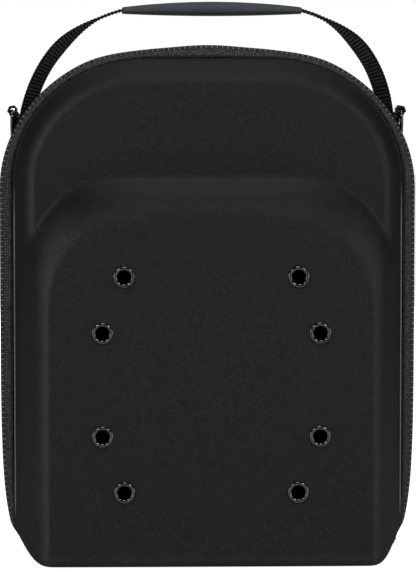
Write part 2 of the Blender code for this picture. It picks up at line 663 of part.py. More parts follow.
def ring_tab(name, side):
    """Webbing that is sewn over the strap's end, follows it up, loops round the ring's bar and
    comes back over itself."""
    bar = ring_bar(1)
    radius = RING_WIRE / 2 + RING_PLAY + TAB_THICKNESS / 2
    strap, strap_twist = strap_side()
    beside = (strap[:, 1] > SEWN_LOW + TAB_START) & (strap[:, 1] < RING_BAR_HEIGHT - TAB_LEAVES)
    away = (STRAP_THICKNESS + TAB_THICKNESS) / 2 + GAP
    sewn = (strap + outward(strap) * away / np.cos(strap_twist)[:, None])[beside]
    ahead = (sewn[-1] - sewn[-2]) / np.linalg.norm(sewn[-1] - sewn[-2])
    loop = ellipse_arc(bar, (radius, radius), LOOP_START, LOOP_END, LOOP_STEPS)
    rise = bezier([sewn[-1], sewn[-1] + ahead * TAB_LEAVES / 3, loop[0] - [0, TAB_LEAVES / 3], loop[0]],
                  RISE_STEPS)
    rise_twist = strap_twist[beside][-1] * np.linspace(1, 0, RISE_STEPS + 1)
    first = np.concatenate([sewn, rise[1:]])
    twist = np.concatenate([strap_twist[beside], rise_twist[1:]])
    over = slice(len(sewn) + 2, len(sewn) - 2, -1)
    tail = (first + outward(first) * (TAB_THICKNESS + GAP) / np.cos(twist)[:, None])[over]
    back = bezier([loop[-1], loop[-1] - [TAB_THICKNESS, TAB_THICKNESS], tail[0] + [0, TAB_THICKNESS],
                   tail[0]], BACK_STEPS)
    line = np.concatenate([first, loop[1:], back[1:], tail[1:]])
    twist_back = -twist[over][0] * np.linspace(0, 1, BACK_STEPS + 1)[1:]
    twist = np.concatenate([twist, np.zeros(len(loop) - 1), twist_back, -twist[over][1:]])
    return ribbon(name, line * [side, 1], twist, TAB_WIDTH, TAB_THICKNESS, STRAP_Y,
                  outward(line) * [side, 1])


def main():
    """Builds every piece of the case."""
    for old in list(bpy.data.objects):
        bpy.data.objects.remove(old)
    shell = moulded_shell("front_shell", front_depth, FRONT_ROWS, FRONT_RIM_Y, -1)
    moulded_shell("back_shell", back_depth, BACK_ROWS, BACK_RIM_Y, 1)
    add_eyelets(shell)
    zip_tape("front_tape", -1)
    zip_tape("back_tape", 1)
    zipper_chain()
    hinge_strip()
    zip_slider()
    handle_strap()
    handle_grip()
    for name, side in (("left", -1), ("right", 1)):
        ring_tab(f"ring_tab_{name}", side)
        d_ring(f"d_ring_{name}", side)


main()
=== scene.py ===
from math import atan, cos, pi, radians, sin, tan

import bmesh
import bpy
import numpy as np
from mathutils import Matrix, Vector


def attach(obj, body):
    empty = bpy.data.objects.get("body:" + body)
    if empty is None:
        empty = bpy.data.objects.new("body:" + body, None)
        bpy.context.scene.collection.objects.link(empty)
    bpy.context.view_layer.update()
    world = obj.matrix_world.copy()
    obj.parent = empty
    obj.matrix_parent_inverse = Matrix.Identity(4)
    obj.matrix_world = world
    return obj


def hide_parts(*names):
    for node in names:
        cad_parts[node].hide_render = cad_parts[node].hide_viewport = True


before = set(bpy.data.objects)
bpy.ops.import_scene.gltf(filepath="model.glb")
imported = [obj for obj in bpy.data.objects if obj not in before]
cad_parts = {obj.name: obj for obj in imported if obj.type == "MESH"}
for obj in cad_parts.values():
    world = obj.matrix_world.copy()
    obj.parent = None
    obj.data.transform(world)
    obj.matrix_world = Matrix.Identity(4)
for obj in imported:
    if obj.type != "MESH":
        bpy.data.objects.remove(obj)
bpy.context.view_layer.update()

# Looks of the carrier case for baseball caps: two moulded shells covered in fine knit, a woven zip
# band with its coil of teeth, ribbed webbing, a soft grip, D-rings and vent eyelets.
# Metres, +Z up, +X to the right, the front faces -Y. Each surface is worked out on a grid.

# Rim outline of both shells
RIM_HALF_WIDTH = 0.1362
RIM_HEIGHT = 0.3472
SHOULDER_WIDTH = 0.092
SHOULDER_HEIGHT = 0.084
LOWER_CORNER = 0.022

# Shell walls
WALL = 0.003
TRAY_DEPTH = 0.040
TRAY_SLOPE = 3.5
TRAY_ROUNDING = 0.018
BAY_DEPTH = 0.085
BAY_SLOPE = 4.3
BAY_ROUNDING = 0.034
BAY_HEIGHT = 0.276
BAY_SHOULDER_WIDTH = 0.0666
BAY_SHOULDER_HEIGHT = 0.0631
BAY_SHOULDER_EASE = 0.0104
BAY_EASE_INSET = 0.024
BAY_TOP_SLOPE = 3.46
BAY_TOP_ROUNDING = 0.045
BAY_TOP_SHIFT = 0.0023
BAY_TOP_SPREAD = 6
CREASE = 0.005
CREASE_SHARE = 0.25
BACK_DEPTH = 0.060
BACK_SLOPE = 2.6
BACK_ROUNDING = 0.036
FACE_CROWN = 0.002
BOTTOM_EDGE = 0.012

# Zip band
BAND_WIDTH = 0.022
SIDE_RISE = 0.0096
TOP_RISE = 0.0092
CREST_SHOULDER_WIDER = 0.022
CREST_SHOULDER_TALLER = 0.016
RISE_START = 0.009
RISE_LENGTH = 0.028
CREST_BOW = 0.0026
CREST_BOW_REACH = 0.092
ZIP_END_ANGLE = radians(-60)
TAPE_THICKNESS = 0.0009
TAPE_INSET = 0.0006
TAPE_CROWN = 0.0016
TOOTH_PITCH = 0.0019
TOOTH_WIDTH = 0.0044
TOOTH_HEIGHT = 0.0017
TOOTH_STAGGER = 0.00045
TOOTH_SHARE = 0.6
TOOTH_SPREAD = 0.0064
TOOTH_BEND = 170.0
COIL_CHANNEL = 0.0009
HINGE_RECESS = 0.0012
# Painted light and shade on the cloth, as factors on its colour: lit rounded edges, shaded steep side walls,
# shaded upper corners of the bay, lit top wall and lower edge, and the painted highlight on the rim piping; left
# and right differ.
PAINTED_WALL_SHADE_LEFT, PAINTED_WALL_SHADE_RIGHT = 0.8, 0.72
PAINTED_EDGE_LIGHT_LEFT, PAINTED_EDGE_LIGHT_RIGHT = 1.15, 0.5
PAINTED_TOP_WALL_LIGHT = 0.8
PAINTED_LOWER_EDGE_LIGHT = 0.6
PAINTED_RIM_HIGHLIGHT = 3.4
CORNER_X, CORNER_Z, CORNER_REACH = 0.0893, 0.249, 0.02
PAINTED_CORNER_SHADE_LEFT, PAINTED_CORNER_SHADE_RIGHT = 0.6, 0.25
PIPING = 0.0012
PIPING_OUT = 0.0007
TAPE_TUCK = 0.0012
SEAM_INSET = 0.0040
STITCH_PITCH = 0.0032
STITCH_LENGTH = 0.0024
STITCH_WIDTH = 0.00055
STITCH_PROUD = 0.00018

# Zip slider
SLIDER_ANGLE = radians(-45)
SLIDER_WIDTH = 0.009
SLIDER_LENGTH = 0.007
SLIDER_HEIGHT = 0.0025
PULL_LENGTH = 0.0155
PULL_WIDTH = 0.0052
PULL_THICKNESS = 0.0014

# Eyelets
EYELET_HOLE = 0.0094
EYELET_FLANGE = 0.0148
EYELET_PROUD = 0.0014
EYELET_TUBE_WALL = 0.0008
EYELET_MIDDLE = 0.1269
EYELET_OUTER_X = 0.0742
EYELET_OUTER_Z = 0.0354
EYELET_INNER_X = 0.0594
EYELET_INNER_Z = 0.0738

# Handle
STRAP_WIDTH = 0.025
STRAP_THICKNESS = 0.002
STRAP_BEHIND_RIM = 0.0015
SEWN_LOW = 0.266
SEWN_LENGTH = 0.017
SEWN_LEAN = 0.001
SEWN_PULL = 0.0872
TWIST_START, TWIST_SPAN = 0.38, 0.36
GRIP_LENGTH = 0.130
GRIP_ABOVE_RIM = 0.0346
GRIP_HEIGHT = RIM_HEIGHT + GRIP_ABOVE_RIM
GRIP_BOW = 0.0012
GRIP_PULL = 0.003
GRIP_DROOP = 0.0018
GRIP_WIDTH = 0.034
GRIP_THICKNESS = 0.0102
GRIP_END_THICKNESS = 0.0048
HANDLE_LEAN = 0.0035
RIB_PITCH = 0.0026
RIB_DEPTH = 0.0007

# Rings and their tabs
RING_OUT = 0.0022
RING_BAR_HEIGHT = 0.311
RING_WIRE = 0.0025
RING_INNER_WIDTH = 0.0224
RING_DROP = 0.0193
RING_CORNER = 0.006
RING_PLAY = 0.0004
TAB_WIDTH = 0.020
TAB_THICKNESS = 0.0017
TAB_START = 0.002
TAB_LEAVES = 0.0095
GAP = 0.0003

# Grid steps along the outline and over the shells
STEPS = {"bottom": 34, "corner": 12, "side": 62, "shoulder": 44, "top": 12}
FRONT_ROWS, BACK_ROWS = 120, 84
PROFILE_SAMPLES = 600
TURN_WEIGHT = 0.045
SPINE_LOW, SPINE_HIGH = 0.32, 0.62

# Camera and photo frame
PHOTO_WIDTH, PHOTO_HEIGHT = 416, 572
CAMERA_ELEVATION = radians(4.5)
CAMERA_AZIMUTH = radians(-1.6)
CAMERA_DISTANCE = 2.3
METRES_PER_PIXEL = 0.000709
AIM = (0.00025, 0.0132, 0.1871)

# Studio: name, place, size and power of each soft light
BACKDROP_LIGHT = 0.004
FLOOR_GLOW = 0.85
LIGHT_TARGET = (0.0, -0.03, 0.2)
LIGHTS = [
    ("low_left", (-1.2, -1.6, 0.4), (0.8, 0.8), 2.7),
    ("low_right", (1.2, -1.6, 0.4), (0.8, 0.8), 1.8),
    ("high_left", (-1.0, -1.4, 1.3), (0.4, 0.4), 8.0),
    ("high_right", (1.0, -1.4, 1.3), (0.4, 0.4), 9.6),
    ("side_left", (-1.8, -0.4, 0.3), (0.5, 1.0), 6.3),
    ("side_right", (1.8, -0.4, 0.3), (0.5, 1.0), 7.0),
    ("overhead", (0.0, -0.5, 1.8), (0.6, 0.6), 7.0),
    ("top_back", (0.0, 0.5, 1.6), (0.8, 0.5), 3.0),
    ("rear", (0.0, 2.0, 0.5), (0.5, 0.5), 10.0),
]


# Outlines

def ellipse_arc(centre, radii, start, end, steps):
    """Points centre + (radius_x cos a, radius_z sin a) for the angle a from start to end."""
    angle = np.linspace(start, end, steps + 1)
    return np.stack([centre[0] + radii[0] * np.cos(angle), centre[1] + radii[1] * np.sin(angle)], 1)


def straight(start, end, steps):
    """Evenly spaced points from start to end."""
    share = np.linspace(0, 1, steps + 1)[:, None]
    return np.array(start) * (1 - share) + np.array(end) * share


def rim_side(first_angle=None):
    """Right half of the rim, from the middle of the bottom, or from an angle of the lower corner,
    up the side and over the shoulder to the middle of the top."""
    low = (RIM_HALF_WIDTH - LOWER_CORNER, LOWER_CORNER)
    high = (RIM_HALF_WIDTH - SHOULDER_WIDTH, RIM_HEIGHT - SHOULDER_HEIGHT)
    stretches = []
    if first_angle is None:
        stretches.append(straight((0, 0), (low[0], 0), STEPS["bottom"]))
    start = -pi / 2 if first_angle is None else first_angle
    stretches.append(ellipse_arc(low, (LOWER_CORNER, LOWER_CORNER), start, 0, STEPS["corner"]))
    stretches.append(straight((RIM_HALF_WIDTH, low[1]), (RIM_HALF_WIDTH, high[1]), STEPS["side"]))
    stretches.append(ellipse_arc(high, (SHOULDER_WIDTH, SHOULDER_HEIGHT), 0, pi / 2, STEPS["shoulder"]))
    stretches.append(straight((high[0], RIM_HEIGHT), (0, RIM_HEIGHT), STEPS["top"]))
    return np.concatenate([stretches[0]] + [stretch[1:] for stretch in stretches[1:]])


def crest_side(first_angle):
    """The line of the zip teeth, point for point beside rim_side: it rises out of the lower corner
    by 1 - exp(-height), its shoulder is a wider ellipse than the rim's, and its top sags slightly to
    both sides of the middle by sin^2."""
    rim = rim_side(first_angle)
    half_width = RIM_HALF_WIDTH + SIDE_RISE
    radii = (SHOULDER_WIDTH + CREST_SHOULDER_WIDER, SHOULDER_HEIGHT + CREST_SHOULDER_TALLER)
    centre = (half_width - radii[0], RIM_HEIGHT + TOP_RISE - radii[1])
    upper = np.concatenate([
        ellipse_arc(centre, radii, 0, pi / 2, STEPS["shoulder"])[1:],
        straight((centre[0], RIM_HEIGHT + TOP_RISE), (0, RIM_HEIGHT + TOP_RISE), STEPS["top"])[1:]])
    bow = np.sin(pi * np.clip(upper[:, 0] / CREST_BOW_REACH, 0, 1)) ** 2
    upper[:, 1] -= CREST_BOW * bow
    lower = rim[:len(rim) - len(upper)].copy()
    lower[:, 1] *= centre[1] / (RIM_HEIGHT - SHOULDER_HEIGHT)
    above = np.maximum(lower[:, 1] - RISE_START, 0)
    lower[:, 0] += SIDE_RISE * (1 - np.exp(-above / RISE_LENGTH))
    return np.concatenate([lower, upper])


def both_sides(half, closed=True):
    """A whole outline from its right half: right side up, then the mirrored left side down."""
    left = half[-2::-1] * [-1, 1]
    return np.concatenate([half, left[:-1] if closed else left])


def outward(path, closed=False):
    """Unit normals of a path that runs counter-clockwise, pointing away from its inside."""
    if closed:
        along = np.roll(path, -1, 0) - np.roll(path, 1, 0)
    else:
        along = np.gradient(path, axis=0, edge_order=2)
    normal = np.stack([along[:, 1], -along[:, 0]], 1)
    return normal / np.linalg.norm(normal, axis=1)[:, None]


def lengths(path):
    """Distance along a path at each of its points."""
    return np.concatenate([[0], np.cumsum(np.linalg.norm(np.diff(path, axis=0), axis=1))])


def evenly(path, spacing, *carried):
    """A path resampled to about one spacing, with values carried along it."""
    along = lengths(path)
    count = max(2, round(along[-1] / spacing))
    at = np.linspace(0, along[-1], count + 1)
    result = [np.stack([np.interp(at, along, path[:, k]) for k in range(path.shape[1])], 1)]
    result += [np.interp(at, along, value) for value in carried]
    return result if carried else result[0]


# Depth fields

def smooth_min(first, second, blend):
    """The lesser of two values, rounded over the width blend where they cross."""
    near = np.clip(1 - np.abs(first - second) / np.maximum(blend, 1e-9), 0, 1)
    return np.minimum(first, second) - blend * near * near / 4


def inset_of(x, z, half_width, height, corner_width, corner_height):
    """Distance inward from an outline with straight sides, a straight top and elliptical corners."""
    x = np.abs(x)
    across = x - (half_width - corner_width)
    up = z - (height - corner_height)
    reach = np.hypot(across, up)
    ratio = np.hypot(across / corner_width, up / corner_height)
    in_corner = reach * (1 / np.maximum(ratio, 1e-9) - 1)
    in_straight = np.minimum(half_width - x, height - z)
    return np.where((across > 0) & (up > 0), in_corner, in_straight)


def crowned(x, z, depth, height):
    """Depth of a face that bulges slightly towards its middle."""
    middle = height / 2
    return depth - FACE_CROWN * ((x / RIM_HALF_WIDTH) ** 2 + ((z - middle) / middle) ** 2) / 2


def shoulder_ease(inset):
    """How much wider and taller the bay's shoulders are at an inset than at its foot."""
    return BAY_SHOULDER_EASE * np.clip(inset / BAY_EASE_INSET, 0, 1) ** 2


def bay_inset(x, z):
    """Distance inward from the bay's foot. The bay's shoulders grow rounder as they rise, so the
    outline that a point lies on is found by repeated correction."""
    inset = np.zeros_like(x)
    for _ in range(8):
        ease = shoulder_ease(inset)
        inset = inset + inset_of(x, z, RIM_HALF_WIDTH - inset, BAY_HEIGHT - inset,
                                 BAY_SHOULDER_WIDTH + ease, BAY_SHOULDER_HEIGHT + ease)
    return inset


def faces_up(x, z, inset):
    """How far the bay's wall faces up: 1 along its top, falling round the shoulders to 0."""
    width = BAY_SHOULDER_WIDTH + shoulder_ease(inset)
    height = BAY_SHOULDER_HEIGHT + shoulder_ease(inset)
    across = np.maximum(np.abs(x) - (RIM_HALF_WIDTH - inset - width), 0) / width ** 2
    up = np.maximum(z - (BAY_HEIGHT - inset - height), 0) / height ** 2
    return (up / np.maximum(np.hypot(across, up), 1e-9)) ** BAY_TOP_SPREAD


def bay_depth(x, z):
    """Depth of the raised bay: its sides are steep, and its top is a gentler, rounder ramp."""
    inset = bay_inset(x, z)
    top = faces_up(x, z, inset)
    slope = BAY_SLOPE + (BAY_TOP_SLOPE - BAY_SLOPE) * top
    rounding = BAY_ROUNDING + (BAY_TOP_ROUNDING - BAY_ROUNDING) * top
    return smooth_min(slope * (inset + BAY_TOP_SHIFT * top), crowned(x, z, BAY_DEPTH, BAY_HEIGHT), rounding)


def round_lower_edge(x, z, depth):
    """Takes the rounded edge off along the flat bottom and round the lower corners."""
    across = np.maximum(np.abs(x) - (RIM_HALF_WIDTH - LOWER_CORNER), 0)
    down = np.maximum(LOWER_CORNER - z, 0)
    reach = np.maximum(np.hypot(across, down), 1e-9)
    steepness = np.maximum(down / reach, 1e-3) ** 2
    from_edge = np.maximum(LOWER_CORNER - reach, 0) / steepness
    radius = np.minimum(BOTTOM_EDGE, depth / 2)
    share = np.clip(1 - from_edge / np.maximum(radius, 1e-9), 0, 1)
    return depth - radius * (1 - np.sqrt(1 - share ** 2))


def front_depth(x, z):
    """Depth of the front shell: the greater of the upper tray and the raised bay, with a small
    fillet where they meet."""
    tray = smooth_min(
        TRAY_SLOPE * inset_of(x, z, RIM_HALF_WIDTH, RIM_HEIGHT, SHOULDER_WIDTH, SHOULDER_HEIGHT),
        crowned(x, z, TRAY_DEPTH, RIM_HEIGHT), TRAY_ROUNDING)
    bay = bay_depth(x, z)
    blend = np.minimum(CREASE, CREASE_SHARE * np.maximum(np.maximum(tray, bay), 0))
    depth = -smooth_min(-tray, -bay, blend)
    return round_lower_edge(x, z, np.maximum(depth, 0))


def back_depth(x, z):
    """Depth of the back shell: one dome over the whole rim."""
    inset = inset_of(x, z, RIM_HALF_WIDTH, RIM_HEIGHT, SHOULDER_WIDTH, SHOULDER_HEIGHT)
    dome = smooth_min(BACK_SLOPE * inset, crowned(x, z, BACK_DEPTH, RIM_HEIGHT), BACK_ROUNDING)
    return round_lower_edge(x, z, np.maximum(dome, 0))


def depth_at(x, z):
    """Depth of the front shell at one point."""
    return float(front_depth(np.array(x), np.array(z)))


EYELETS = [(side * across, EYELET_MIDDLE + up)
           for across, up in ((EYELET_INNER_X, EYELET_INNER_Z), (EYELET_OUTER_X, EYELET_OUTER_Z),
                              (EYELET_OUTER_X, -EYELET_OUTER_Z), (EYELET_INNER_X, -EYELET_INNER_Z))
           for side in (-1, 1)]
FRONT_REACH = max(BAY_DEPTH, max(depth_at(x, z) for x, z in EYELETS) + GAP + EYELET_PROUD)
ZIP_Y = (FRONT_REACH - BACK_DEPTH) / 2
FRONT_RIM_Y = ZIP_Y - BAND_WIDTH / 2
BACK_RIM_Y = ZIP_Y + BAND_WIDTH / 2
STRAP_Y = BACK_RIM_Y + STRAP_BEHIND_RIM + STRAP_WIDTH / 2


CLOTH_SHEEN = 0.12


# Node helpers

def group(name, inputs, outputs):
    """A new shader node group with its input and output nodes. Inputs are (name, kind, value)."""
    tree = bpy.data.node_groups.new(name, "ShaderNodeTree")
    for label, kind, value in inputs:
        socket = tree.interface.new_socket(label, in_out="INPUT", socket_type="NodeSocket" + kind)
        if value is not None:
            socket.default_value = value
    for label, kind in outputs:
        tree.interface.new_socket(label, in_out="OUTPUT", socket_type="NodeSocket" + kind)
    return tree, tree.nodes.new("NodeGroupInput").outputs, tree.nodes.new("NodeGroupOutput").inputs


def add(tree, kind, inputs=(), **settings):
    """A node with its settings and inputs. An input is a plain value, or a socket that feeds it."""
    node = tree.nodes.new("ShaderNode" + kind)
    for key, value in settings.items():
        setattr(node, key, value)
    for key, value in dict(inputs).items():
        if isinstance(value, bpy.types.NodeSocket):
            tree.links.new(value, node.inputs[key])
        else:
            node.inputs[key].default_value = value
    return node


def calc(tree, operation, first, second=0.0, third=0.0):
    """The result of one Math node."""
    return add(tree, "Math", {0: first, 1: second, 2: third}, operation=operation).outputs[0]


def span(tree, value, low, high, to_low=0.0, to_high=1.0):
    """A value carried from one range to another, smoothly and clamped."""
    sockets = {"Value": value, "From Min": low, "From Max": high, "To Min": to_low, "To Max": to_high}
    return add(tree, "MapRange", sockets, interpolation_type="SMOOTHSTEP").outputs["Result"]


def noise(tree, vector, scale, detail=3.0, roughness=0.55):
    """A noise value from 0 to 1."""
    sockets = {"Vector": vector, "Scale": scale, "Detail": detail, "Roughness": roughness}
    return add(tree, "TexNoise", sockets).outputs["Fac"]


def mixed(tree, share, first, second):
    """A colour between two others."""
    return add(tree, "Mix", {"Factor": share, "A": first, "B": second}, data_type="RGBA").outputs["Result"]


def make_heather_group():
    """Fine knit: tiny grains of yarn over soft patches, as a colour share and a height."""
    tree, given, result = group(
        "heather", [("Vector", "Vector", None), ("Grain", "Float", 2400.0), ("Patch", "Float", 160.0)],
        [("Share", "Float"), ("Height", "Float")])
    grain = noise(tree, given["Vector"], given["Grain"], 2.0, 0.7)
    patch = noise(tree, given["Vector"], given["Patch"], 4.0, 0.6)
    share = calc(tree, "ADD", calc(tree, "MULTIPLY", grain, 0.85), calc(tree, "MULTIPLY", patch, 0.15))
    tree.links.new(span(tree, share, 0.36, 0.64), result["Share"])
    tree.links.new(grain, result["Height"])
    return tree


def make_weave_group():
    """Plain weave on a strip's own length and width: two sets of threads that cross, as a height from
    0 to 1. The texture vector is in metres, along and across."""
    tree, given, result = group(
        "weave", [("Vector", "Vector", None), ("Along", "Float", 0.001), ("Across", "Float", 0.001)],
        [("Height", "Float"), ("Thread", "Float")])
    part = add(tree, "SeparateXYZ", {0: given["Vector"]}).outputs
    along = calc(tree, "DIVIDE", part["X"], given["Along"])
    across = calc(tree, "DIVIDE", part["Y"], given["Across"])
    row = calc(tree, "MODULO", calc(tree, "FLOOR", across), 2.0)
    shifted = calc(tree, "ADD", along, calc(tree, "MULTIPLY", row, 0.5))
    wave_along = calc(tree, "ABSOLUTE", calc(tree, "SINE", calc(tree, "MULTIPLY", shifted, pi)))
    wave_across = calc(tree, "ABSOLUTE", calc(tree, "SINE", calc(tree, "MULTIPLY", across, pi)))
    tree.links.new(calc(tree, "MULTIPLY", wave_along, wave_across), result["Height"])
    tree.links.new(wave_across, result["Thread"])
    return tree


def new_material(name, colour, roughness, specular, metallic=0.0):
    """A material with its own Principled shader."""
    material = bpy.data.materials.new(name)
    material.use_nodes = True
    shader = material.node_tree.nodes["Principled BSDF"]
    shader.inputs["Base Color"].default_value = (*colour, 1)
    shader.inputs["Roughness"].default_value = roughness
    shader.inputs["Specular IOR Level"].default_value = specular
    shader.inputs["Metallic"].default_value = metallic
    return material, material.node_tree, shader


def bump(tree, shader, height, distance, strength=1.0):
    """Feeds a height to the shader's normal."""
    node = add(tree, "Bump", {"Height": height, "Distance": distance, "Strength": strength})
    tree.links.new(node.outputs["Normal"], shader.inputs["Normal"])


def shaded(tree, colour):
    """A colour times the painted light and shade that its mesh gives each point."""
    shade = add(tree, "Attribute", {}, attribute_name="shade").outputs["Fac"]
    return add(tree, "VectorMath", {0: colour, 1: shade}, operation="MULTIPLY").outputs[0]


def knit_material(name, dark, light, grain=2400.0, height=0.00006):
    """Fine matt knit bonded to foam."""
    material, tree, shader = new_material(name, dark, 0.85, CLOTH_SHEEN)
    place = add(tree, "TexCoord").outputs["Object"]
    heather = add(tree, "Group", {}, node_tree=HEATHER)
    tree.links.new(place, heather.inputs["Vector"])
    heather.inputs["Grain"].default_value = grain
    colour = mixed(tree, heather.outputs["Share"], (*dark, 1), (*light, 1))
    tree.links.new(shaded(tree, colour), shader.inputs["Base Color"])
    tree.links.new(span(tree, heather.outputs["Share"], 0.0, 1.0, 0.62, 0.8), shader.inputs["Roughness"])
    bump(tree, shader, heather.outputs["Height"], height)
    return material


def woven_material(name, dark, light, along, across, height, roughness=0.9, specular=0.06):
    """Cloth tape: a weave that follows the strip by its own UV map, which is in metres."""
    material, tree, shader = new_material(name, dark, roughness, specular)
    place = add(tree, "UVMap", uv_map="strip").outputs["UV"]
    weave = add(tree, "Group", {"Along": along, "Across": across}, node_tree=WEAVE)
    tree.links.new(place, weave.inputs["Vector"])
    spots = noise(tree, add(tree, "TexCoord").outputs["Object"], 620.0)
    share = calc(tree, "MULTIPLY", weave.outputs["Height"], span(tree, spots, 0.38, 0.62, 0.1, 1.0))
    colour = mixed(tree, share, (*dark, 1), (*light, 1))
    tree.links.new(shaded(tree, colour), shader.inputs["Base Color"])
    bump(tree, shader, weave.outputs["Height"], height)
    return material


def metal_material():
    """Glossy black enamel on metal, with faint wear."""
    material, tree, shader = new_material("black_enamel", (0.004, 0.004, 0.0045), 0.14, 0.85)
    place = add(tree, "TexCoord").outputs["Object"]
    spots = noise(tree, place, 420.0)
    tree.links.new(span(tree, spots, 0.3, 0.75, 0.12, 0.18), shader.inputs["Roughness"])
    shader.inputs["Coat Weight"].default_value = 1.0
    shader.inputs["Coat Roughness"].default_value = 0.08
    bump(tree, shader, noise(tree, place, 260.0), 0.00003)
    return material


def teeth_material():
    """Black nylon coil."""
    material, tree, shader = new_material("coil_nylon", (0.05, 0.05, 0.05), 0.35, 0.5)
    place = add(tree, "TexCoord").outputs["Object"]
    spots = noise(tree, place, 1500.0)
    tree.links.new(mixed(tree, spots, (0.10, 0.10, 0.097, 1), (0.24, 0.24, 0.23, 1)),
                   shader.inputs["Base Color"])
    tree.links.new(span(tree, spots, 0.3, 0.7, 0.28, 0.45), shader.inputs["Roughness"])
    return material


def floor_material():
    """White paper that the camera sees nearly shadowless."""
    material, tree, shader = new_material("white_paper", (0.6, 0.6, 0.6), 0.9, 0.0)
    spots = noise(tree, add(tree, "TexCoord").outputs["Object"], 3.0)
    tree.links.new(mixed(tree, spots, (0.79, 0.79, 0.79, 1), (0.81, 0.81, 0.81, 1)),
                   shader.inputs["Base Color"])
    seen = add(tree, "LightPath").outputs["Is Camera Ray"]
    glow = add(tree, "Emission", {"Strength": calc(tree, "MULTIPLY", seen, FLOOR_GLOW)})
    both = add(tree, "AddShader", {0: shader.outputs[0], 1: glow.outputs[0]})
    tree.links.new(both.outputs[0], tree.nodes["Material Output"].inputs["Surface"])
    return material


HEATHER = make_heather_group()
WEAVE = make_weave_group()
KNIT = knit_material("shell_knit", (0.0108, 0.0103, 0.0116), (0.0284, 0.0271, 0.0304), 1250.0, 0.0001)
LINING = knit_material("hinge_knit", (0.011, 0.011, 0.0115), (0.020, 0.020, 0.021), 3000.0, 0.00004)
BINDING = knit_material("rim_binding", (0.030, 0.030, 0.031), (0.052, 0.052, 0.053), 1500.0, 0.00004)
TAPE = woven_material("tape_weave", (0.024, 0.025, 0.024), (0.132, 0.136, 0.130), 0.0019, 0.0011, 0.0002)
WEBBING = woven_material("webbing_weave", (0.030, 0.030, 0.031), (0.115, 0.115, 0.118), RIB_PITCH, 0.0012,
                         0.0002)
GRIP = knit_material("grip_sleeve", (0.051, 0.056, 0.062), (0.082, 0.089, 0.098), 1400.0, 0.00008)
METAL = metal_material()
TEETH = teeth_material()
THREAD = knit_material("thread", (0.010, 0.010, 0.010), (0.028, 0.028, 0.029), 5000.0, 0.00003)


# Mesh helpers

def piece(name, vertices, faces, material, slot, replaced=(), body="case", uv=None, smooth=50,
          shade=None):
    """A finished piece: its mesh with outward faces, material, body and the nodes it stands for. uv
    holds (along, across) in metres for each vertex, and shade a factor on its cloth's colour at each vertex,
    which paints light and shade onto it."""
    mesh = bpy.data.meshes.new(name)
    mesh.from_pydata(np.asarray(vertices, float), [], faces)
    given = np.ones(len(mesh.vertices)) if shade is None else np.asarray(shade, float).ravel()
    mesh.attributes.new("shade", "FLOAT", "POINT").data.foreach_set("value", given.astype(np.float32))
    if uv is not None:
        layer = mesh.uv_layers.new(name="strip")
        corner = np.empty(len(mesh.loops), np.int32)
        mesh.loops.foreach_get("vertex_index", corner)
        layer.data.foreach_set("uv", np.asarray(uv, np.float32)[corner].ravel())
    work = bmesh.new()
    work.from_mesh(mesh)
    bmesh.ops.recalc_face_normals(work, faces=work.faces)
    work.to_mesh(mesh)
    work.free()
    mesh.shade_smooth()
    mesh.set_sharp_from_angle(angle=radians(smooth))
    mesh.materials.append(material)
    result = bpy.data.objects.new(name, mesh)
    bpy.context.scene.collection.objects.link(result)
    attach(result, body)
    if replaced:
        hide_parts(*replaced)
    return result


def grid_faces(rows, columns, wrap_rows=False, wrap_columns=False, first=0):
    """Quads of a grid whose points are numbered row by row, as an array."""
    r = np.arange(rows - (not wrap_rows))[:, None]
    c = np.arange(columns - (not wrap_columns))[None]
    after_r, after_c = (r + 1) % rows, (c + 1) % columns
    corners = [r * columns + c, r * columns + after_c, after_r * columns + after_c, after_r * columns + c]
    return first + np.stack([np.broadcast_to(k, (r.size, c.size)).ravel() for k in corners], 1)


def swept(name, sections, material, slot, replaced=(), body="case", closed=False, uv=None, smooth=50,
          shade=None):
    """A solid from equal closed sections, shape (stations, points, 3), with flat ends if open. The
    strip's own UV runs along the stations and across the points."""
    stations, points = sections.shape[:2]
    faces = grid_faces(stations, points, closed, True).tolist()
    if not closed:
        faces.append(list(range(points)))
        faces.append([(stations - 1) * points + i for i in range(points)])
    if uv is None:
        middle = sections.mean(1)
        across = lengths(np.concatenate([sections[0], sections[0][:1]]))[:-1]
        along = np.repeat(lengths(middle)[:, None], points, 1)
        uv = np.stack([along, np.broadcast_to(across, along.shape)], 2).reshape(-1, 2)
    return piece(name, sections.reshape(-1, 3), faces, material, slot, replaced, body, uv, smooth, shade)


def tube(name, centre, first, second, radius, material, slot, sides=10, **options):
    """A round bar along centre points, with two unit directions across it at each point."""
    turn = np.arange(sides) * 2 * pi / sides
    sections = (centre[:, None] + radius * (first[:, None] * np.cos(turn)[None, :, None]
                                            + second[:, None] * np.sin(turn)[None, :, None]))
    return swept(name, sections, material, slot, **options)


def scattered(name, shape, faces, places, frames, material, slot, **options):
    """Many copies of one small shape. A copy's point is place + frame @ point."""
    points = np.einsum("nij,pj->npi", frames, shape) + places[:, None]
    offsets = np.arange(len(places)) * len(shape)
    every = np.array(faces)[None] + offsets[:, None, None]
    return piece(name, points.reshape(-1, 3), every.reshape(-1, every.shape[-1]).tolist(), material, slot,
                 **options)


def pill(length, width, height, rings=4, sides=6):
    """A capsule along X: its half width at the share t of its length is sqrt(1 - (2t - 1)^4). Returned
    with quads only, its tips drawn to small rings."""
    t = np.linspace(-0.96, 0.96, rings)
    size = np.sqrt(1 - t ** 4)
    turn = np.arange(sides) * 2 * pi / sides
    points = np.stack([np.repeat(t[:, None] * length / 2, sides, 1),
                       size[:, None] * np.cos(turn)[None] * width / 2,
                       size[:, None] * np.sin(turn)[None] * height / 2], 2).reshape(-1, 3)
    faces = grid_faces(rings, sides, wrap_columns=True).tolist()
    for row in (0, rings - 1):
        ring = [row * sides + i for i in range(sides)]
        faces += [[ring[0], ring[1], ring[2], ring[3]], [ring[0], ring[3], ring[4], ring[5]]]
    return points, faces


# Shells

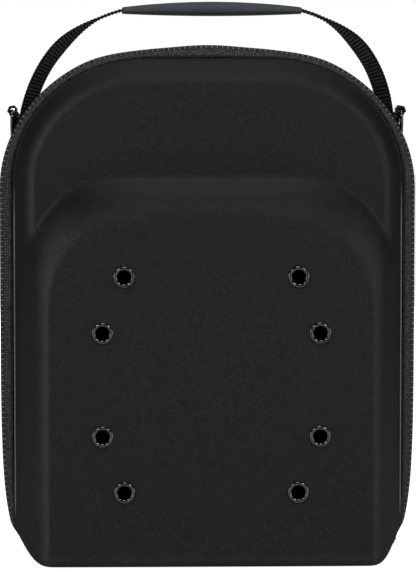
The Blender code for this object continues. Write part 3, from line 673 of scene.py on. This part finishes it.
def shell_surface(depth_of, rows):
    """Points of a shell's outside over the rim, in (x, z, depth), row by row from the rim to the
    spine, a short upright line in the middle. Along each ray the rows are evenly spaced in length
    plus turning, so they gather at walls, edges and creases."""
    rim = both_sides(rim_side())
    spine = np.stack([np.zeros(len(rim)),
                      np.clip(rim[:, 1], SPINE_LOW * RIM_HEIGHT, SPINE_HIGH * RIM_HEIGHT)], 1)
    share = np.linspace(0, 1, PROFILE_SAMPLES)[None, :, None] ** 1.5
    plan = rim[:, None] * (1 - share) + spine[:, None] * share
    depth = depth_of(plan[..., 0], plan[..., 1])
    rise = np.linspace(0, 1, PROFILE_SAMPLES // 8, endpoint=False)
    foot = np.concatenate([np.repeat(rim[:, None], len(rise), 1), depth[:, :1, None] * rise[:, None]], 2)
    profile = np.concatenate([foot, np.concatenate([plan, depth[..., None]], 2)], 1)
    step = np.diff(profile, axis=1)
    length = np.linalg.norm(step, axis=2)
    direction = step / np.maximum(length, 1e-9)[..., None]
    cosine = np.clip((direction[:, 1:] * direction[:, :-1]).sum(2), -1, 1)
    moving = (length[:, 1:] > 1e-8) & (length[:, :-1] > 1e-8)
    turning = np.where(moving, np.arccos(cosine), 0)
    measure = np.zeros(profile.shape[:2])
    measure[:, 1:] = np.cumsum(length, 1)
    measure[:, 2:] += TURN_WEIGHT * np.cumsum(turning, 1)
    result = np.empty((rows + 1, len(rim), 3))
    for i in range(len(rim)):
        at = np.linspace(0, measure[i, -1], rows + 1)
        result[:, i] = np.stack([np.interp(at, measure[i], profile[i, :, k]) for k in range(3)], 1)
    return result


def painted_light_and_shade(depth_of, x, z, has_bay):
    """Painted light and shade on the moulded cloth, as a factor on its colour: lighter over the rounded edges, by
    exp(-((s - a) / b)^2) of the steepness s, darker on the steep side walls and in the bay's upper corners,
    lighter on the bay's top wall and along the lower edge, more strongly on the left than on the right."""
    step = 0.0005
    across = (depth_of(x + step, z) - depth_of(x - step, z)) / (2 * step)
    upward = (depth_of(x, z + step) - depth_of(x, z - step)) / (2 * step)
    slope = np.hypot(across, upward)
    steep = slope / np.hypot(slope, 1)
    sideways = np.abs(across) / np.maximum(slope, 1e-9)
    left = x < 0
    wall = np.clip((steep - 0.86) / 0.1, 0, 1)
    edge = np.exp(-((steep - 0.72) / 0.22) ** 2)
    top = (1 - sideways ** 2) ** 2
    below = np.clip(upward / np.maximum(slope, 1e-9), 0, 1) * np.clip(steep / 0.5, 0, 1) * (z < 0.03)
    corner = np.exp(-((np.abs(x) - CORNER_X) ** 2 + (z - CORNER_Z) ** 2) / CORNER_REACH ** 2)
    corner *= np.clip(steep / 0.8, 0, 1) ** 2 * has_bay
    return (1 + np.where(left, PAINTED_EDGE_LIGHT_LEFT, PAINTED_EDGE_LIGHT_RIGHT) * edge * sideways ** 2
            - np.where(left, PAINTED_CORNER_SHADE_LEFT, PAINTED_CORNER_SHADE_RIGHT) * corner
            - np.where(left, PAINTED_WALL_SHADE_LEFT, PAINTED_WALL_SHADE_RIGHT) * wall * (1 - top)
            + PAINTED_TOP_WALL_LIGHT * wall * top * (z < BAY_HEIGHT + 0.01) + PAINTED_LOWER_EDGE_LIGHT * below)


def moulded_shell(name, node, depth_of, rows, rim_y, facing, holes=()):
    """A shell off the plane y = rim_y, its wall grown inward. Around each hole the faces inside are
    left out and the points next to it are drawn onto its circle."""
    surface = shell_surface(depth_of, rows)
    count = surface.shape[1]
    points = surface.reshape(-1, 3).copy()
    faces = grid_faces(rows + 1, count, wrap_columns=True)
    radius = EYELET_HOLE / 2 + EYELET_TUBE_WALL + GAP
    kept = np.ones(len(faces), bool)
    for x, z in holes:
        away = points[:, :2] - [x, z]
        reach = np.linalg.norm(away, axis=1)
        inside = reach < radius
        kept &= ~inside[faces].all(1)
        points[inside, :2] += (away / np.maximum(reach, 1e-9)[:, None] * (radius - reach)[:, None])[inside]
    faces = faces[kept]
    points[:, 2] = np.where(points[:, 2] > 1e-6, points[:, 2], 0)
    vertices = np.stack([points[:, 0], rim_y + facing * points[:, 2], points[:, 1]], 1)
    # Painted light and shade, fixed to places on the shell.
    shade = painted_light_and_shade(depth_of, points[:, 0], points[:, 1], facing < 0)
    shell = piece(name, vertices, faces.tolist(), KNIT, "shell_fabric", (node,), smooth=180, shade=shade)
    work = bmesh.new()
    work.from_mesh(shell.data)
    bmesh.ops.remove_doubles(work, verts=work.verts, dist=2e-6)
    bmesh.ops.delete(work, geom=[v for v in work.verts if not v.link_faces], context="VERTS")
    bmesh.ops.recalc_face_normals(work, faces=work.faces)
    if sum(face.normal.y * face.calc_area() for face in work.faces) * facing < 0:
        bmesh.ops.reverse_faces(work, faces=work.faces)
    work.to_mesh(shell.data)
    work.free()
    wall = shell.modifiers.new("wall", "SOLIDIFY")
    wall.thickness = WALL
    wall.offset = -1
    return shell


def rim_piping(name, rim_y, side):
    """The rolled edge where the shell's cover is bound to the tape: a thin bead round the rim."""
    rim = both_sides(rim_side(ZIP_END_ANGLE), closed=False)
    normal = outward(rim)
    line = rim + normal * (PIPING_OUT - PIPING)
    centre = np.stack([line[:, 0], np.full(len(line), rim_y + side * GAP), line[:, 1]], 1)
    out = np.stack([normal[:, 0], np.zeros(len(line)), normal[:, 1]], 1)
    y_axis = np.broadcast_to([0.0, 1.0, 0.0], out.shape)
    # Painted highlight: the piping is dimmed to 0.45 of its colour and lifted along the bay's sides, where the
    # edge catches the light.
    low = np.clip((line[:, 1] - 0.022) / 0.012, 0, 1) * np.clip((0.262 - line[:, 1]) / 0.03, 0, 1)
    shade = np.repeat(0.45 + PAINTED_RIM_HIGHLIGHT * low[:, None], 12, 1)
    return tube(name, centre, out, y_axis, PIPING, BINDING, "shell_fabric", sides=12, shade=shade)


# Zip band

def band_line(share, first_angle=ZIP_END_ANGLE):
    """A line round the zip band at a share of the way from rim to crest, with its outward normals."""
    rim = both_sides(rim_side(first_angle), closed=False)
    crest = both_sides(crest_side(first_angle), closed=False)
    line = rim * (1 - share) + crest * share
    return line, outward(line)


def tape_rise(share):
    """Outward bulge of the tape between the rim and the teeth: 4 s (1 - s) of its crown."""
    return 4 * share * (1 - share) * TAPE_CROWN


def zip_tape(name, side):
    """A woven tape, thin and bulged, from its sewn edge behind the shell's rim up to the teeth. Near
    the teeth it is pressed down by the seam that holds the coil."""
    share = np.linspace(0, 1, 31)
    out = tape_rise(share) - TAPE_INSET
    out -= COIL_CHANNEL * np.exp(-((share - 0.92) / 0.09) ** 2) + 0.0004 * np.exp(-((share - 0.14) / 0.05) ** 2)
    out -= TAPE_TUCK * np.exp(-(share / 0.06) ** 2)
    half = BAND_WIDTH / 2 - GAP
    y = side * (half + (TOOTH_WIDTH / 2 - half) * share)
    rim = both_sides(rim_side(ZIP_END_ANGLE), closed=False)
    crest = both_sides(crest_side(ZIP_END_ANGLE), closed=False)
    normal = outward(rim)
    rows = []
    # Painted shade: the tape is darkened where it tucks under the shell's rim and in the channel beside the coil.
    dark = 1 - 0.95 * np.exp(-(share / 0.27) ** 4) - 0.85 * np.exp(-((share - 0.92) / 0.1) ** 4)
    profile = [(s, o, w) for s, o, w in zip(share, out, y)]
    profile += [(s, o - TAPE_THICKNESS, w) for s, o, w in profile[::-1]]
    for s, o, w in profile:
        line = rim * (1 - s) + crest * s + normal * o
        rows.append(np.stack([line[:, 0], np.full(len(line), ZIP_Y + w), line[:, 1]], 1))
    shade = np.broadcast_to(np.concatenate([dark, dark[::-1]]), (len(rim), 2 * len(dark)))
    return swept(name, np.stack(rows, 1), TAPE, "zip_tape", (name.replace("_cloth", ""),), shade=shade)


def coil_teeth():
    """The closed coil: a row of small capsules across the zip line, each a pitch from the next and
    set to the left and right by turns."""
    line, _ = band_line(1.0)
    line = evenly(line, TOOTH_PITCH)
    normal = outward(line)
    count = len(line)
    shape, faces = pill(TOOTH_SPREAD, TOOTH_PITCH * TOOTH_SHARE, TOOTH_HEIGHT, rings=7)
    shape[:, 2] -= TOOTH_BEND * shape[:, 0] ** 2
    side = np.where(np.arange(count) % 2, 1, -1) * TOOTH_STAGGER
    places = np.stack([line[:, 0], ZIP_Y + side, line[:, 1]], 1)
    out = np.stack([normal[:, 0], np.zeros(count), normal[:, 1]], 1)
    places += out * (TOOTH_HEIGHT * 0.12)
    y_axis = np.broadcast_to([0.0, 1.0, 0.0], out.shape)
    frames = np.stack([y_axis, np.cross(out, y_axis), out], 2)
    return scattered("coil_teeth", shape, faces, places, frames, TEETH, "zip_teeth",
                     replaced=("zipper_chain",), smooth=60)


def coil_cord():
    """The woven bed under the teeth, with a low filler cord along the middle."""
    line, normal = band_line(1.0)
    half = TOOTH_WIDTH / 2 + 0.0006
    rows = []
    for y, out in ((-half, -0.0017), (-half * 0.8, -0.0006), (-half * 0.4, 0.0007), (0, 0.0011),
                   (half * 0.4, 0.0007), (half * 0.8, -0.0006), (half, -0.0017), (half, -0.0024),
                   (-half, -0.0024)):
        path = line + normal * out
        rows.append(np.stack([path[:, 0], np.full(len(path), ZIP_Y + y), path[:, 1]], 1))
    return swept("coil_cord", np.stack(rows, 1), THREAD, "zip_tape")


def stitch_run(name, line, normal, y, lift, pitch=STITCH_PITCH, length=STITCH_LENGTH):
    """A run of sewn stitches along a line in the XZ plane at the depth y: capsules a pitch apart,
    half sunk in the cloth."""
    path, y = evenly(line + normal * lift, pitch, np.broadcast_to(y, len(line)))
    normal = outward(path)
    shape, faces = pill(length, STITCH_WIDTH, STITCH_WIDTH, rings=4)
    places = np.stack([path[:, 0], y, path[:, 1]], 1)
    out = np.stack([normal[:, 0], np.zeros(len(path)), normal[:, 1]], 1)
    y_axis = np.broadcast_to([0.0, 1.0, 0.0], out.shape)
    frames = np.stack([np.cross(y_axis, out), y_axis, out], 2)
    return scattered(name, shape, faces, places, frames, THREAD, "zip_tape")


def tape_stitches():
    """Stitches beside the coil on both tapes and along the sewn edges."""
    for label, side in (("front", -1), ("back", 1)):
        for place, share in (("coil", 0.86), ("edge", 0.10)):
            rim = both_sides(rim_side(ZIP_END_ANGLE), closed=False)
            line, _ = band_line(share)
            half = BAND_WIDTH / 2 - GAP
            y = ZIP_Y + side * (half + (TOOTH_WIDTH / 2 - half) * share)
            lift = float(tape_rise(share)) - TAPE_INSET - 0.0004 + STITCH_PROUD
            stitch_run(f"{label}_{place}_stitches", line, outward(rim), y, lift)


def hinge_cloth():
    """The fabric hinge along the bottom, from one end of the zip round to the other, bowed slightly
    inward between its two sewn edges."""
    low = (RIM_HALF_WIDTH - LOWER_CORNER, LOWER_CORNER)
    end = ZIP_END_ANGLE - GAP / LOWER_CORNER
    right = np.concatenate([straight((0, 0), (low[0], 0), STEPS["bottom"]),
                            ellipse_arc(low, (LOWER_CORNER, LOWER_CORNER), -pi / 2, end, 8)[1:]])
    path = np.concatenate([right[:0:-1] * [-1, 1], right])
    normal = outward(path)
    half = BAND_WIDTH / 2 - GAP
    share = np.linspace(-1, 1, 17)
    sag = 0.0007 * (1 - share ** 2) + 0.0004 * np.exp(-((np.abs(share) - 0.72) / 0.06) ** 2)
    profile = [(w * half, -HINGE_RECESS - s) for w, s in zip(share, sag)]
    profile += [(w, out - 0.0012) for w, out in profile[::-1]]
    rows = []
    for w, out in profile:
        line = path + normal * out
        rows.append(np.stack([line[:, 0], np.full(len(line), ZIP_Y + w), line[:, 1]], 1))
    swept("hinge_cloth", np.stack(rows, 1), LINING, "shell_fabric", ("hinge_strip",))
    for label, side in (("front", -1), ("back", 1)):
        stitch_run(f"hinge_{label}_stitches", path, normal, ZIP_Y + side * half * 0.72,
                   -HINGE_RECESS - 0.0004 + STITCH_PROUD)


def rounded_block(outline, near, far, bevel):
    """Sections of a block through an outline, drawn in at both ends by the bevel."""
    outline = np.array(outline, float)
    middle = outline.mean(0)
    size = np.abs(outline - middle).max(0)
    sections = []
    for at, inset in ((near, bevel), (near + bevel * 0.3, bevel * 0.3), (near + bevel, 0),
                      (far - bevel, 0), (far - bevel * 0.3, bevel * 0.3), (far, bevel)):
        sections.append((at, middle + (outline - middle) * (1 - inset / size)))
    return sections


def zip_slider():
    """The slider's body, its bridge and a flat pull with an eye, folded back over the rear tape."""
    away = np.array([cos(SLIDER_ANGLE), 0, sin(SLIDER_ANGLE)])
    along = np.array([-sin(SLIDER_ANGLE), 0, cos(SLIDER_ANGLE)])
    centre = np.array([RIM_HALF_WIDTH - LOWER_CORNER, ZIP_Y, LOWER_CORNER]) + away * LOWER_CORNER
    half = SLIDER_WIDTH / 2
    low = 0.0008 + GAP
    top = low + SLIDER_HEIGHT

    def placed(points):
        points = np.asarray(points)
        return centre + points[..., :1] * along + points[..., 1:2] * [0, 1, 0] + points[..., 2:] * away

    body = [(-half, low + 0.0004), (-half + 0.0004, low), (half - 0.0004, low), (half, low + 0.0004),
            (half, top - 0.0008), (half - 0.0008, top), (-half + 0.0008, top), (-half, top - 0.0008)]
    sections = [[(at, y, out) for y, out in ring]
                for at, ring in rounded_block(body, -SLIDER_LENGTH / 2, SLIDER_LENGTH / 2, 0.0007)]
    swept("slider_body", placed(np.array(sections)), METAL, "black_metal", ("zip_slider",))
    angle = np.linspace(0, pi, 13)
    bridge = np.stack([np.zeros(13), np.cos(angle) * half * 0.62, top - 0.0004 + np.sin(angle) * 0.0013], 1)
    ahead = np.stack([np.zeros(13), -np.sin(angle), np.cos(angle)], 1)
    across = np.broadcast_to([1.0, 0, 0], ahead.shape)
    up = np.cross(ahead, across)
    turn = np.arange(8) * 2 * pi / 8
    sections = (bridge[:, None] + 0.0008 * across[:, None] * np.cos(turn)[None, :, None] * 1.2
                + 0.0005 * up[:, None] * np.sin(turn)[None, :, None])
    swept("slider_bridge", placed(sections), METAL, "black_metal")
    outline = 28
    turn = np.arange(outline) * 2 * pi / outline
    reach = (half + PULL_LENGTH) / 2 + 0.001
    square = np.abs(np.cos(turn)) ** 0.35 * np.sign(np.cos(turn))
    rim = np.stack([np.sin(turn) * PULL_WIDTH / 2 * (1 - 0.15 * square), reach * 0.46 * 2 * square / 2
                    + reach, np.zeros(outline)], 1)
    eye = np.stack([np.sin(turn) * PULL_WIDTH * 0.22, np.cos(turn) * PULL_WIDTH * 0.22 + reach * 1.28,
                    np.zeros(outline)], 1)
    layers = []
    for ring, shrink, out in ((rim, 0.97, 0.0), (rim, 1.0, 0.2), (rim, 1.0, 0.8), (rim, 0.97, 1.0),
                              (eye, 1.0, 1.0), (eye, 1.0, 0.0)):
        middle = ring.mean(0)
        layer = middle + (ring - middle) * shrink
        layer[:, 2] = top + 0.0001 + out * (PULL_THICKNESS - 0.0002)
        layers.append(layer)
    swept("slider_pull", placed(np.array(layers)), METAL, "black_metal", closed=True)


# Eyelets

def eyelet_frame(x, z):
    """Place and turn of an eyelet: its axis is the face's normal there."""
    step = 0.001
    slope_x = (depth_at(x + step, z) - depth_at(x - step, z)) / (2 * step)
    slope_z = (depth_at(x, z + step) - depth_at(x, z - step)) / (2 * step)
    axis = Vector((-slope_x, -1, -slope_z)).normalized()
    place = Vector((x, FRONT_RIM_Y - depth_at(x, z), z))
    return np.array(Matrix.Translation(place) @ axis.to_track_quat("Z", "X").to_matrix().to_4x4())


def eyelets():
    """Turned eyelets: a rolled flange that dips to the hole and a short tube."""
    hole = EYELET_HOLE / 2
    flange = EYELET_FLANGE / 2
    top = EYELET_PROUD + GAP
    roll = np.linspace(0, pi, 15)
    middle, half = (flange + hole) / 2, (flange - hole) / 2
    profile = [(hole + EYELET_TUBE_WALL, -WALL), (hole + EYELET_TUBE_WALL, 0.0), (flange - 0.0002, 0.0)]
    profile += list(zip(middle + half * np.cos(roll), 0.0001 + (top - 0.0001) * np.sin(roll) ** 0.8))
    profile += [(hole, 0.0), (hole, -WALL)]
    radius, height = np.array(profile).T
    sides = 56
    turn = np.arange(sides) * 2 * pi / sides
    ring = np.stack([radius[None] * np.cos(turn)[:, None], radius[None] * np.sin(turn)[:, None],
                     np.repeat(height[None], sides, 0)], 2)
    for number, (x, z) in enumerate(EYELETS, 1):
        place = eyelet_frame(x, z)
        sections = ring @ place[:3, :3].T + place[:3, 3]
        swept(f"eyelet_ring_{number}", sections, METAL, "black_metal", (f"eyelet_{number}",), closed=True)


# Handle and rings

WALL_TILT = atan(1 / BACK_SLOPE)


def back_wall_line(heights):
    """Where the back shell's side wall is, at the middle of the strap's width, at some heights."""
    behind = STRAP_Y - BACK_RIM_Y
    up = np.clip((heights - (RIM_HEIGHT - SHOULDER_HEIGHT)) / SHOULDER_HEIGHT, 0, 1)
    rim = RIM_HALF_WIDTH - SHOULDER_WIDTH + SHOULDER_WIDTH * np.sqrt(1 - up ** 2)
    line = np.stack([rim, heights], 1)
    return line - outward(line) * behind / BACK_SLOPE


def bezier(points, steps):
    """A cubic curve through its first and last of four points."""
    t = np.linspace(0, 1, steps + 1)[:, None]
    a, b, c, d = (np.array(p) for p in points)
    return a * (1 - t) ** 3 + 3 * b * t * (1 - t) ** 2 + 3 * c * t ** 2 * (1 - t) + d * t ** 3


def strap_side():
    """Right half of the handle's line from the sewn end to the middle of the grip, with its twist:
    the strap lies on the sloping wall at the end and stands square in the grip."""
    sewn = back_wall_line(np.linspace(SEWN_LOW, SEWN_LOW + SEWN_LENGTH, 5))
    sewn = sewn + outward(sewn) * (GAP + STRAP_THICKNESS / 2) / cos(WALL_TILT)
    start, grip_end = sewn[-1], np.array([GRIP_LENGTH / 2, GRIP_HEIGHT])
    free = bezier([start, start + [SEWN_LEAN, SEWN_PULL], grip_end + [GRIP_PULL, -GRIP_DROOP], grip_end], 80)
    across = np.linspace(GRIP_LENGTH / 2, 0, 12)
    held = np.stack([across, GRIP_HEIGHT + GRIP_BOW * (1 - (2 * across / GRIP_LENGTH) ** 2)], 1)
    line = np.concatenate([sewn, free[1:], held[1:]])
    share = np.concatenate([np.zeros(len(sewn)), np.linspace(0, 1, len(free))[1:], np.ones(len(held) - 1)])
    turned = np.clip((share - TWIST_START) / TWIST_SPAN, 0, 1)
    return line, WALL_TILT * (1 - turned ** 2 * (3 - 2 * turned))


def lean(line):
    """The handle's middle stands slightly to the right of its ends."""
    share = np.clip((line[:, 1] - RING_BAR_HEIGHT) / (GRIP_HEIGHT - RING_BAR_HEIGHT), 0, 1)
    return line + np.stack([HANDLE_LEAN * share, np.zeros(len(line))], 1)


def webbing(name, line, twist, width, thickness, side, node, ribs=True):
    """Ribbed webbing along a line in the XZ plane, turned about the line by its twist. Its section is
    a flat oval with a thicker edge, and cross ribs swell it by |sin| along its length."""
    line, twist = evenly(line, RIB_PITCH / 6, twist)
    normal = outward(line) * [side, 1]
    line = line * [side, 1]
    out = np.stack([normal[:, 0], np.zeros(len(line)), normal[:, 1]], 1)
    y_axis = np.array([0.0, 1.0, 0.0])
    wide = np.cos(twist)[:, None] * y_axis - np.sin(twist)[:, None] * out
    thick = np.cos(twist)[:, None] * out + np.sin(twist)[:, None] * y_axis
    centre = np.stack([line[:, 0], np.full(len(line), STRAP_Y), line[:, 1]], 1)
    across = np.concatenate([np.linspace(-1, 1, 11), np.linspace(1, -1, 11)])
    face = np.repeat([1.0, -1.0], 11)
    edge = 1 - np.abs(across) ** 12 * 0.55
    rib = np.abs(np.sin(pi * lengths(line) / RIB_PITCH))
    swell = 1 + (RIB_DEPTH / thickness) * (2 * rib[:, None] - 1.2)
    # Painted light and shade: the rib crests are lighter and the troughs and the strap's edges darker.
    shade = 0.35 + 1.6 * np.exp(-((1 - rib) / 0.25) ** 2)
    shade = np.repeat(shade[:, None], len(across), 1) * (1 - 0.6 * (np.abs(across) > 0.9))
    height = face * edge * thickness / 2 * swell
    sections = (centre[:, None] + wide[:, None] * (across * width / 2)[None, :, None]
                + thick[:, None] * height[..., None])
    return swept(name, sections, WEBBING, "webbing", (node,), shade=shade)


def handle_webbing():
    """The whole strap, from the right shoulder over to the left."""
    half, twist = strap_side()
    line = lean(both_sides(half, closed=False))
    webbing("handle_webbing", line, np.concatenate([twist, twist[-2::-1]]), STRAP_WIDTH,
            STRAP_THICKNESS, 1, "handle_strap")


def grip_sleeve():
    """A soft sleeve, thick in its middle: its section is |y|^p + |z|^p = 1 with p near 3, its
    thickness falls as 1 - share^2, and its ends roll in to the strap."""
    stations, sides = 90, 48
    angle = np.arange(sides) * 2 * pi / sides
    share = np.sin(np.linspace(-pi / 2, pi / 2, stations))
    x = share * (GRIP_LENGTH / 2 - 0.001)
    thick = GRIP_END_THICKNESS + (GRIP_THICKNESS - GRIP_END_THICKNESS) * (1 - share ** 2)
    middle = GRIP_HEIGHT + GRIP_BOW * (1 - share ** 2)
    close = np.clip((1 - np.abs(share)) * GRIP_LENGTH / 2 / 0.0018, 0, 1)
    roll = np.sqrt(1 - (1 - close) ** 2)
    round_y = np.sign(np.cos(angle)) * np.abs(np.cos(angle)) ** 0.7
    round_z = np.sign(np.sin(angle)) * np.abs(np.sin(angle)) ** 0.7
    slot_y, slot_z = STRAP_WIDTH / 2 + GAP, STRAP_THICKNESS / 2 + GAP
    y = slot_y + (GRIP_WIDTH / 2 - slot_y) * roll
    z = slot_z + (thick / 2 - slot_z) * roll
    sections = np.stack([np.repeat(x[:, None], sides, 1) + HANDLE_LEAN,
                         STRAP_Y + round_y[None] * y[:, None],
                         middle[:, None] + round_z[None] * z[:, None]], 2)
    grip = swept("grip_sleeve", sections, GRIP, "grip_fabric", ("handle_grip",), smooth=80)


def ring_bar():
    """Centre of the right ring's straight bar, which is also its hinge axis, along Y."""
    return np.array([RIM_HALF_WIDTH + RING_OUT, RING_BAR_HEIGHT])


def d_ring(label, side):
    """A D of round wire: a straight bar along Y, with a round bow that hangs below it."""
    half = RING_INNER_WIDTH / 2 + RING_WIRE / 2
    bar = straight((-half + RING_CORNER * 0.35, 0), (half - RING_CORNER * 0.35, 0), 14)
    angle = np.linspace(0, pi, 60)
    bow = np.stack([half * np.cos(angle), -RING_CORNER * 0.5
                    - (RING_DROP - RING_CORNER * 0.5) * np.sin(angle) ** 0.8], 1)
    path = np.concatenate([bar, bow])
    for _ in range(2):
        smoothed = (np.roll(path, 1, 0) + 2 * path + np.roll(path, -1, 0)) / 4
        path = np.where(np.abs(path[:, :1]) > half * 0.7, smoothed, path)
    normal = outward(path, closed=True)
    x, z = ring_bar() * [side, 1]
    centre = np.stack([np.full(len(path), x), STRAP_Y + path[:, 0], z + path[:, 1]], 1)
    out = np.stack([np.zeros(len(path)), normal[:, 0], normal[:, 1]], 1)
    x_axis = np.broadcast_to([1.0, 0.0, 0.0], out.shape)
    tube(f"ring_{label}", centre, out, x_axis, RING_WIRE / 2, METAL, "black_metal", sides=16,
         replaced=(f"d_ring_{label}",), body=f"{label}_ring", closed=True)


def ring_tab(label, side):
    """Webbing that is sewn over the strap's end, follows it up, loops round the ring's bar and
    comes back over itself."""
    bar = ring_bar()
    radius = RING_WIRE / 2 + RING_PLAY + TAB_THICKNESS / 2
    strap, strap_twist = strap_side()
    beside = (strap[:, 1] > SEWN_LOW + TAB_START) & (strap[:, 1] < RING_BAR_HEIGHT - TAB_LEAVES)
    away = (STRAP_THICKNESS + TAB_THICKNESS) / 2 + GAP
    sewn = (strap + outward(strap) * away / np.cos(strap_twist)[:, None])[beside]
    ahead = (sewn[-1] - sewn[-2]) / np.linalg.norm(sewn[-1] - sewn[-2])
    loop = ellipse_arc(bar, (radius, radius), radians(195), radians(-45), 30)
    rise = bezier([sewn[-1], sewn[-1] + ahead * TAB_LEAVES / 3, loop[0] - [0, TAB_LEAVES / 3], loop[0]], 12)
    rise_twist = strap_twist[beside][-1] * np.linspace(1, 0, 13)
    first = np.concatenate([sewn, rise[1:]])
    twist = np.concatenate([strap_twist[beside], rise_twist[1:]])
    low_end = int(np.argmin(np.abs(sewn[:, 1] - 0.293)))
    over = slice(len(sewn) + 5, low_end, -1)
    tail = (first + outward(first) * (TAB_THICKNESS + GAP) / np.cos(twist)[:, None])[over]
    back = bezier([loop[-1], loop[-1] - [TAB_THICKNESS, TAB_THICKNESS], tail[0] + [0, TAB_THICKNESS], tail[0]], 8)
    line = np.concatenate([first, loop[1:], back[1:], tail[1:]])
    twist = np.concatenate([twist, np.zeros(len(loop) - 1), -twist[over][0] * np.linspace(0, 1, 9)[1:],
                            -twist[over][1:]])
    webbing(f"tab_{label}", line, twist, TAB_WIDTH, TAB_THICKNESS, side, f"ring_tab_{label}")


# Light, floor and camera

def light(name, place, target, size, energy):
    """A soft square light that looks at a target."""
    data = bpy.data.lights.new(name, "AREA")
    data.shape = "RECTANGLE"
    data.size, data.size_y = size
    data.energy = energy
    lamp = bpy.data.objects.new(name, data)
    lamp.location = place
    lamp.rotation_euler = (Vector(target) - Vector(place)).to_track_quat("-Z", "Y").to_euler()
    bpy.context.scene.collection.objects.link(lamp)


def studio():
    """A white floor, a white backdrop that lights the case only faintly, and soft lights."""
    mesh = bpy.data.meshes.new("floor")
    reach = 6.0
    mesh.from_pydata([(-reach, -reach, 0), (reach, -reach, 0), (reach, reach, 0), (-reach, reach, 0)], [],
                     [(0, 1, 2, 3)])
    mesh.materials.append(floor_material())
    floor = bpy.data.objects.new("floor", mesh)
    bpy.context.scene.collection.objects.link(floor)
    world = bpy.data.worlds.new("white_backdrop")
    world.use_nodes = True
    tree = world.node_tree
    seen = add(tree, "LightPath").outputs["Is Camera Ray"]
    strength = calc(tree, "ADD", calc(tree, "MULTIPLY", seen, 1.0 - BACKDROP_LIGHT), BACKDROP_LIGHT)
    tree.links.new(strength, tree.nodes["Background"].inputs["Strength"])
    tree.nodes["Background"].inputs["Color"].default_value = (1, 1, 1, 1)
    bpy.context.scene.world = world
    for name, place, size, energy in LIGHTS:
        light(name, place, LIGHT_TARGET, size, energy)
    bpy.context.scene.view_settings.view_transform = "Standard"


def camera():
    """The photo's view: long lens, slightly above and to the left of the middle."""
    data = bpy.data.cameras.new("photo_camera")
    data.sensor_fit = "VERTICAL"
    data.sensor_height = 24.0
    data.lens = data.sensor_height * CAMERA_DISTANCE / (METRES_PER_PIXEL * PHOTO_HEIGHT)
    view = bpy.data.objects.new("photo_camera", data)
    flat = cos(CAMERA_ELEVATION)
    direction = Vector((sin(CAMERA_AZIMUTH) * flat, -cos(CAMERA_AZIMUTH) * flat, sin(CAMERA_ELEVATION)))
    view.location = Vector(AIM) + direction * CAMERA_DISTANCE
    view.rotation_euler = (-direction).to_track_quat("-Z", "Y").to_euler()
    bpy.context.scene.collection.objects.link(view)
    bpy.context.scene.camera = view


camera()
studio()
moulded_shell("front_cover", "front_shell", front_depth, FRONT_ROWS, FRONT_RIM_Y, -1, EYELETS)
moulded_shell("back_cover", "back_shell", back_depth, BACK_ROWS, BACK_RIM_Y, 1)
rim_piping("front_piping", FRONT_RIM_Y, 1)
rim_piping("back_piping", BACK_RIM_Y, -1)
zip_tape("front_tape_cloth", -1)
zip_tape("back_tape_cloth", 1)
coil_teeth()
coil_cord()
tape_stitches()
hinge_cloth()
zip_slider()
eyelets()
handle_webbing()
grip_sleeve()
for label, side in (("left", -1), ("right", 1)):
    d_ring(label, side)
    ring_tab(label, side)
